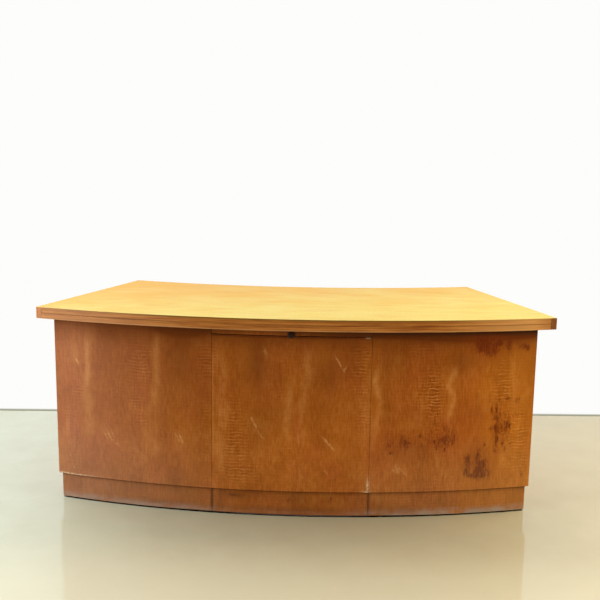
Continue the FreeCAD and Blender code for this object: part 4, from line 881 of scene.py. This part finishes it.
# %% Plinth boards
PLINTH_LOW, PLINTH_RECESS, PLINTH, PLINTH_SHIFT = 0.004, 0.0095, 0.018, 0.09
REAR_SETBACK, PLINTH_ROWS = 0.028, (0, 0, 0, 24)
BODY_REAR = REAR_RADIUS + REAR_SETBACK
PLINTH_FRONT, PLINTH_REAR = BODY_FRONT - PLINTH_RECESS, BODY_REAR + PLINTH_RECESS
PLINTH_INSET = END_OVERHANG + PLINTH_RECESS
# Along the plinth: dark lines at its two seams, darker and lighter patches, and painted shade and painted
# light just above the foot.
PLINTH_SHADES = blots(
    (-292, 50, 5, 90, 0.7), (292, 50, 5, 90, 0.7), (-205, 75, 45, 15, 0.35), (-265, 45, 25, 40, 0.25),
    (20, 70, 40, 30, 0.2), (600, 55, 80, 20, 0.1), (730, 65, 120, 40, -0.25), (440, 75, 60, 30, -0.2),
    (0, 24, 300, 12, 0.35), (-500, 25, 100, 12, 0.3), (440, 25, 80, 12, 0.25), (640, 12, 150, 8, -0.4),
    (480, 80, 220, 15, -0.2), (680, 50, 30, 35, -0.35), (-440, 80, 40, 20, 0.2),
)
PLINTH_STAINS = blots(
    (-215, 78, 18, 9, 0.7), (-185, 72, 22, 7, 0.5), (-5, 62, 10, 14, 0.6), (150, 70, 10, 14, 0.6),
)
front_radii = PLINTH_FRONT - PLINTH, PLINTH_FRONT
between = PLINTH_REAR + PLINTH, PLINTH_FRONT - PLINTH
plinths = [("centre_plinth", front_radii, centre_lines)]
for word, side in SIDES:
    whole = in_order(fore_and_aft(side * SEAM), beside_end(side, PLINTH_INSET))
    outer = in_order(beside_end(side, PLINTH_INSET), beside_end(side, PLINTH_INSET + PLINTH))
    inner = in_order(fore_and_aft(side * SEAM), fore_and_aft(side * (SEAM + PLINTH)))
    plinths += [
        (f"{word}_plinth_front", front_radii, whole),
        (f"{word}_plinth_rear", (PLINTH_REAR, PLINTH_REAR + PLINTH), whole),
        (f"{word}_plinth_outer", between, outer),
        (f"{word}_plinth_inner", between, inner),
    ]
for count, (node, radii, lines) in enumerate(plinths):
    seen = radii == front_radii
    make = {"along": FINE, "rows": PLINTH_ROWS} if seen else {"shift": PLINTH_SHIFT * count}
    piece, about = eased_board(f"{node}_eased", radii, (PLINTH_LOW, BODY_LOW), lines, **make)
    dress(piece, "desk", "body_veneer", cherry)
    if seen:
        mark_front(piece, about, {"shade": PLINTH_SHADES, "stain": PLINTH_STAINS})

# %% Sides, floors and subtops
SIDE, BOARD, CARCASS_EASE, CARCASS_SHIFT = 0.020, 0.018, 0.0008, 0.11
OPENING, OUTER_INSET = SEAM + SIDE, END_OVERHANG + SIDE
FLOOR_TOP, SUBTOP = BODY_LOW + BOARD, BODY_HIGH - BOARD
carcass = []
for word, side in SIDES:
    outer = in_order(beside_end(side, END_OVERHANG), beside_end(side, OUTER_INSET))
    inner = in_order(fore_and_aft(side * SEAM), fore_and_aft(side * OPENING))
    inside = in_order(fore_and_aft(side * OPENING), beside_end(side, OUTER_INSET))
    carcass += [
        (f"{word}_outer_side", (BODY_LOW, BODY_HIGH), outer),
        (f"{word}_inner_side", (BODY_LOW, BODY_HIGH), inner),
        (f"{word}_floor", (BODY_LOW, FLOOR_TOP), inside),
        (f"{word}_subtop", (SUBTOP, BODY_HIGH), inside),
    ]
for count, (node, heights, lines) in enumerate(carcass):
    make = {"ease": CARCASS_EASE, "shift": CARCASS_SHIFT * count}
    piece, _ = eased_board(f"{node}_eased", (BODY_REAR, PANEL_BACK), heights, lines, **make)
    dress(piece, "desk", "body_veneer", cherry)

# %% [markdown]
# ## The slide's lip, the drawer fronts and the door
# These are the same bowed boards with fine gaps round them. They ride on the bodies that move. The door's
# inner edge is bevelled, so that it clears the pedestal's side as it opens.

# %% Moving fronts
REVEAL, BEVEL, FRONT, FRONT_SHIFT = 0.002, 0.005, 0.020, 0.05
UPPER_BAY, MIDDLE_BAY, MAKE = 0.128, 0.188, {"along": 0.01, "rows": (0, 6, 0, 6)}
FRONT_BACK = BODY_REAR + FRONT
UPPER_DIVISION = SUBTOP - UPPER_BAY
LOWER_DIVISION = UPPER_DIVISION - MIDDLE_BAY
end_run = math.sqrt(BODY_REAR**2 - OUTER_INSET**2)
OPENING_OUTER = end_run * math.sin(HALF_ANGLE) - OUTER_INSET * math.cos(HALF_ANGLE)
FACE_INNER, FACE_OUTER = OPENING + REVEAL, OPENING_OUTER - REVEAL
SLIDE_LOW, SLIDE_HIGH, SLIDE_HALF = 0.687, 0.706, 0.2894
# Painted light on the left of the slide's lip, against the painted shade under the top, and a little painted
# shade on the right.
LIP_SHADES = blots((-110, 697, 140, 30, -0.45), (230, 697, 80, 30, 0.1))


def sloped(x_rear, x_front, rear, front):
    """A line whose x goes from one value at the rear radius to another at the front radius."""
    rise = (x_front - x_rear) / (front - rear)
    return lambda radius: np.arcsin((x_rear + rise * (radius - rear)) / radius)


slide_lines = fore_and_aft(-SLIDE_HALF), fore_and_aft(SLIDE_HALF)
radii, heights = (PANEL_BACK, BODY_FRONT), (SLIDE_LOW, SLIDE_HIGH)
lip, about = eased_board("slide_lip_eased", radii, heights, slide_lines, **MAKE)
dress(lip, "slide", "body_veneer", cherry)
mark(lip, "shade", spots(about["arc"], about["height"], LIP_SHADES))

half = REVEAL / 2
radii = BODY_REAR, FRONT_BACK
drawer_lines = fore_and_aft(-FACE_OUTER), fore_and_aft(-FACE_INNER)
door_lines = sloped(FACE_INNER, FACE_INNER + BEVEL, *radii), fore_and_aft(FACE_OUTER)
fronts = (
    ("upper_drawer_front", "upper_drawer", (UPPER_DIVISION + half, SUBTOP - REVEAL), drawer_lines),
    ("middle_drawer_front", "middle_drawer", (LOWER_DIVISION + half, UPPER_DIVISION - half), drawer_lines),
    ("lower_drawer_front", "lower_drawer", (FLOOR_TOP + REVEAL, LOWER_DIVISION - half), drawer_lines),
    ("door_panel", "door", (FLOOR_TOP + REVEAL, SUBTOP - REVEAL), door_lines),
)
for node, body, heights, lines in fronts:
    piece, _ = eased_board(f"{node}_eased", radii, heights, lines, shift=FRONT_SHIFT, **MAKE)
    dress(piece, body, "body_veneer", cherry)

# %% [markdown]
# ## Knobs
# Each knob is a small mushroom, pressed from black phenolic resin. A profile of distance from the face and
# radius is turned about the knob's axis, as on a lathe. A cylinder with a bevel would lack the flare under
# the rim.

# %% Turned knobs
RESIN, HANDLING_MM = {"IOR": 1.55, "Specular IOR Level": 0.2}, 6
KNOB_STEPS, KNOB_SEAT = 48, 0.00005
# Distance from the face and radius, in millimetres: neck, flare, rim and crown.
KNOB_PROFILE = np.array(
    [(0, 6.5), (3.5, 6.4), (5.5, 6.6), (7, 8), (8.2, 10.6), (9, 12.4), (9.8, 13), (11.6, 13), (12.6, 12.7)]
    + [(13.4, 11.9), (14.6, 9.8), (15.6, 7.3), (16.4, 4.5), (16.85, 2.0)]
)


def fitting(name, dark, pale, rough, speck_mm, others):
    """A small fitting whose colour and roughness drift with a noise. others are more sockets."""
    material, add = new_material(name)
    drift = add("TexNoise", (add("TexCoord"), "Object"), 1000 / speck_mm, 3.0)
    tint = add("Mix", drift, linear(dark), linear(pale), **RGBA)
    dull = add("MapRange", drift, 0.3, 0.7, *rough)
    add("OutputMaterial", add("BsdfPrincipled", sockets={"Base Color": tint, "Roughness": dull, **others}))
    return material


def turned_knob(name, radius, angle, height, outward):
    """A point is foot + distance * axis + radius * (cos t * across + sin t * up), with t once round."""
    foot = np.array([radius * math.sin(angle), CENTRE_Y - radius * math.cos(angle), height])
    axis = np.array([math.sin(angle), -math.cos(angle), 0.0]) * outward
    upright = np.array([0.0, 0.0, 1.0])
    across = np.cross(upright, axis)
    distance, reach = KNOB_PROFILE.T / 1000
    t = np.linspace(0, TURN, KNOB_STEPS, endpoint=False)
    ring = np.cos(t)[:, None] * across + np.sin(t)[:, None] * upright
    points = foot + (KNOB_SEAT + distance)[:, None, None] * axis + reach[:, None, None] * ring
    index = np.arange(points.shape[0] * KNOB_STEPS).reshape(-1, KNOB_STEPS)
    beyond = np.roll(index, -1, axis=1)
    quads = np.stack([index[:-1], beyond[:-1], beyond[1:], index[1:]], axis=-1).reshape(-1, 4)
    caps = [index[0][::-1].tolist(), index[-1].tolist()]
    made = new_mesh(name, points, quads.tolist() + caps)
    made.data.shade_smooth()
    return made


# Phenolic resin: nearly black with a brown cast, and dulled to a half gloss by fingers.
phenolic = fitting("black_phenolic_resin", "#1C0C05", "#2C140A", (0.35, 0.5), HANDLING_MM, RESIN)
OUTWARD, INWARD = 1, -1
KNOB_HEAD_ROOM, KNOB_RADIUS, DOOR_KNOB_INSET = 0.0015, 0.013, 0.040
drawer_turn = -math.asin((FACE_INNER + FACE_OUTER) / 2 / BODY_REAR)
door_turn = math.asin((FACE_INNER + DOOR_KNOB_INSET) / BODY_REAR)
knobs = [("slide", BODY_FRONT, 0.0, TOP_UNDERSIDE - KNOB_RADIUS - KNOB_HEAD_ROOM, OUTWARD)]
for _, body, heights, _ in fronts:
    knobs.append((body, BODY_REAR, door_turn if body == "door" else drawer_turn, sum(heights) / 2, INWARD))
for body, radius, turn, height, outward in knobs:
    piece = turned_knob(f"{body}_knob_turned", radius, turn, height, outward)
    dress(piece, body, "knob", phenolic, node=f"{body}_knob")

# %% [markdown]
# ## What the CAD solids show
# The drawer boxes, runners, battens and bearers are plain beech, cut square, and their solids are right as
# they are. They only need a finish. The grain runs along each board, so the beech comes in three
# directions.

# %% Beech, brass, steel and nylon
GRAIN_MM, FLECK_MM = 5, 120


def beech(name, stretch):
    """Sanded beech, pale pinkish brown with short dark flecks. stretch is the grain in mm on x, y and z."""
    material, add = new_material(name)
    mm = add("VectorMath", (add("TexCoord"), "Object"), 1000.0, operation="SCALE")
    at = add("VectorMath", mm, tuple(1 / size for size in stretch), **TIMES)
    grain = add("TexNoise", at, 1.0, 4.0, 0.6)
    tone = add("MapRange", grain, 0.35, 0.65, **SOFT)
    wood = add("Mix", tone, linear("#B98A55"), linear("#D3AA75"), **RGBA)
    bump = add("Bump", sockets={"Strength": 0.25, "Distance": 0.0004, "Height": grain})
    sanded = {"Base Color": wood, "Roughness": 0.6, "IOR": 1.5, "Normal": bump}
    add("OutputMaterial", add("BsdfPrincipled", sockets=sanded))
    return material


along_y = beech("sanded_beech_fore_and_aft", (GRAIN_MM, FLECK_MM, GRAIN_MM))
along_x = beech("sanded_beech_crosswise", (FLECK_MM, GRAIN_MM, GRAIN_MM))
along_z = beech("sanded_beech_upright", (GRAIN_MM, GRAIN_MM, FLECK_MM))
# Brass gone dull and brown, the grey glint of screw heads, and matt black feet.
brass = fitting("dull_brass", "#8A6A30", "#B8924C", (0.3, 0.5), 5, {"Metallic": 1.0})
steel = fitting("plain_steel", "#7E7F82", "#A4A5A8", (0.3, 0.45), 3, {"Metallic": 1.0})
nylon = fitting("black_nylon", "#141312", "#24211F", (0.5, 0.65), 4, {"Metallic": 0.0})
CROSSWISE = ("_back", "_bottom", "_stop", "_bearer", "_shelf", "slide_board")
BY_NAME = {"top_screws": steel, "glides": nylon, "centre_cleats": along_z}


def finish_of(node):
    """The finish of a CAD solid that stays, by its name."""
    if node.startswith("hinge"):
        return brass
    return BY_NAME.get(node, along_x if node.endswith(CROSSWISE) else along_y)


kept = [name for name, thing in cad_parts.items() if not thing.hide_render]
for name in kept:
    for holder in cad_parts[name].material_slots:
        holder.material = finish_of(name)
print(len(kept), "solids stay:", sorted(kept))
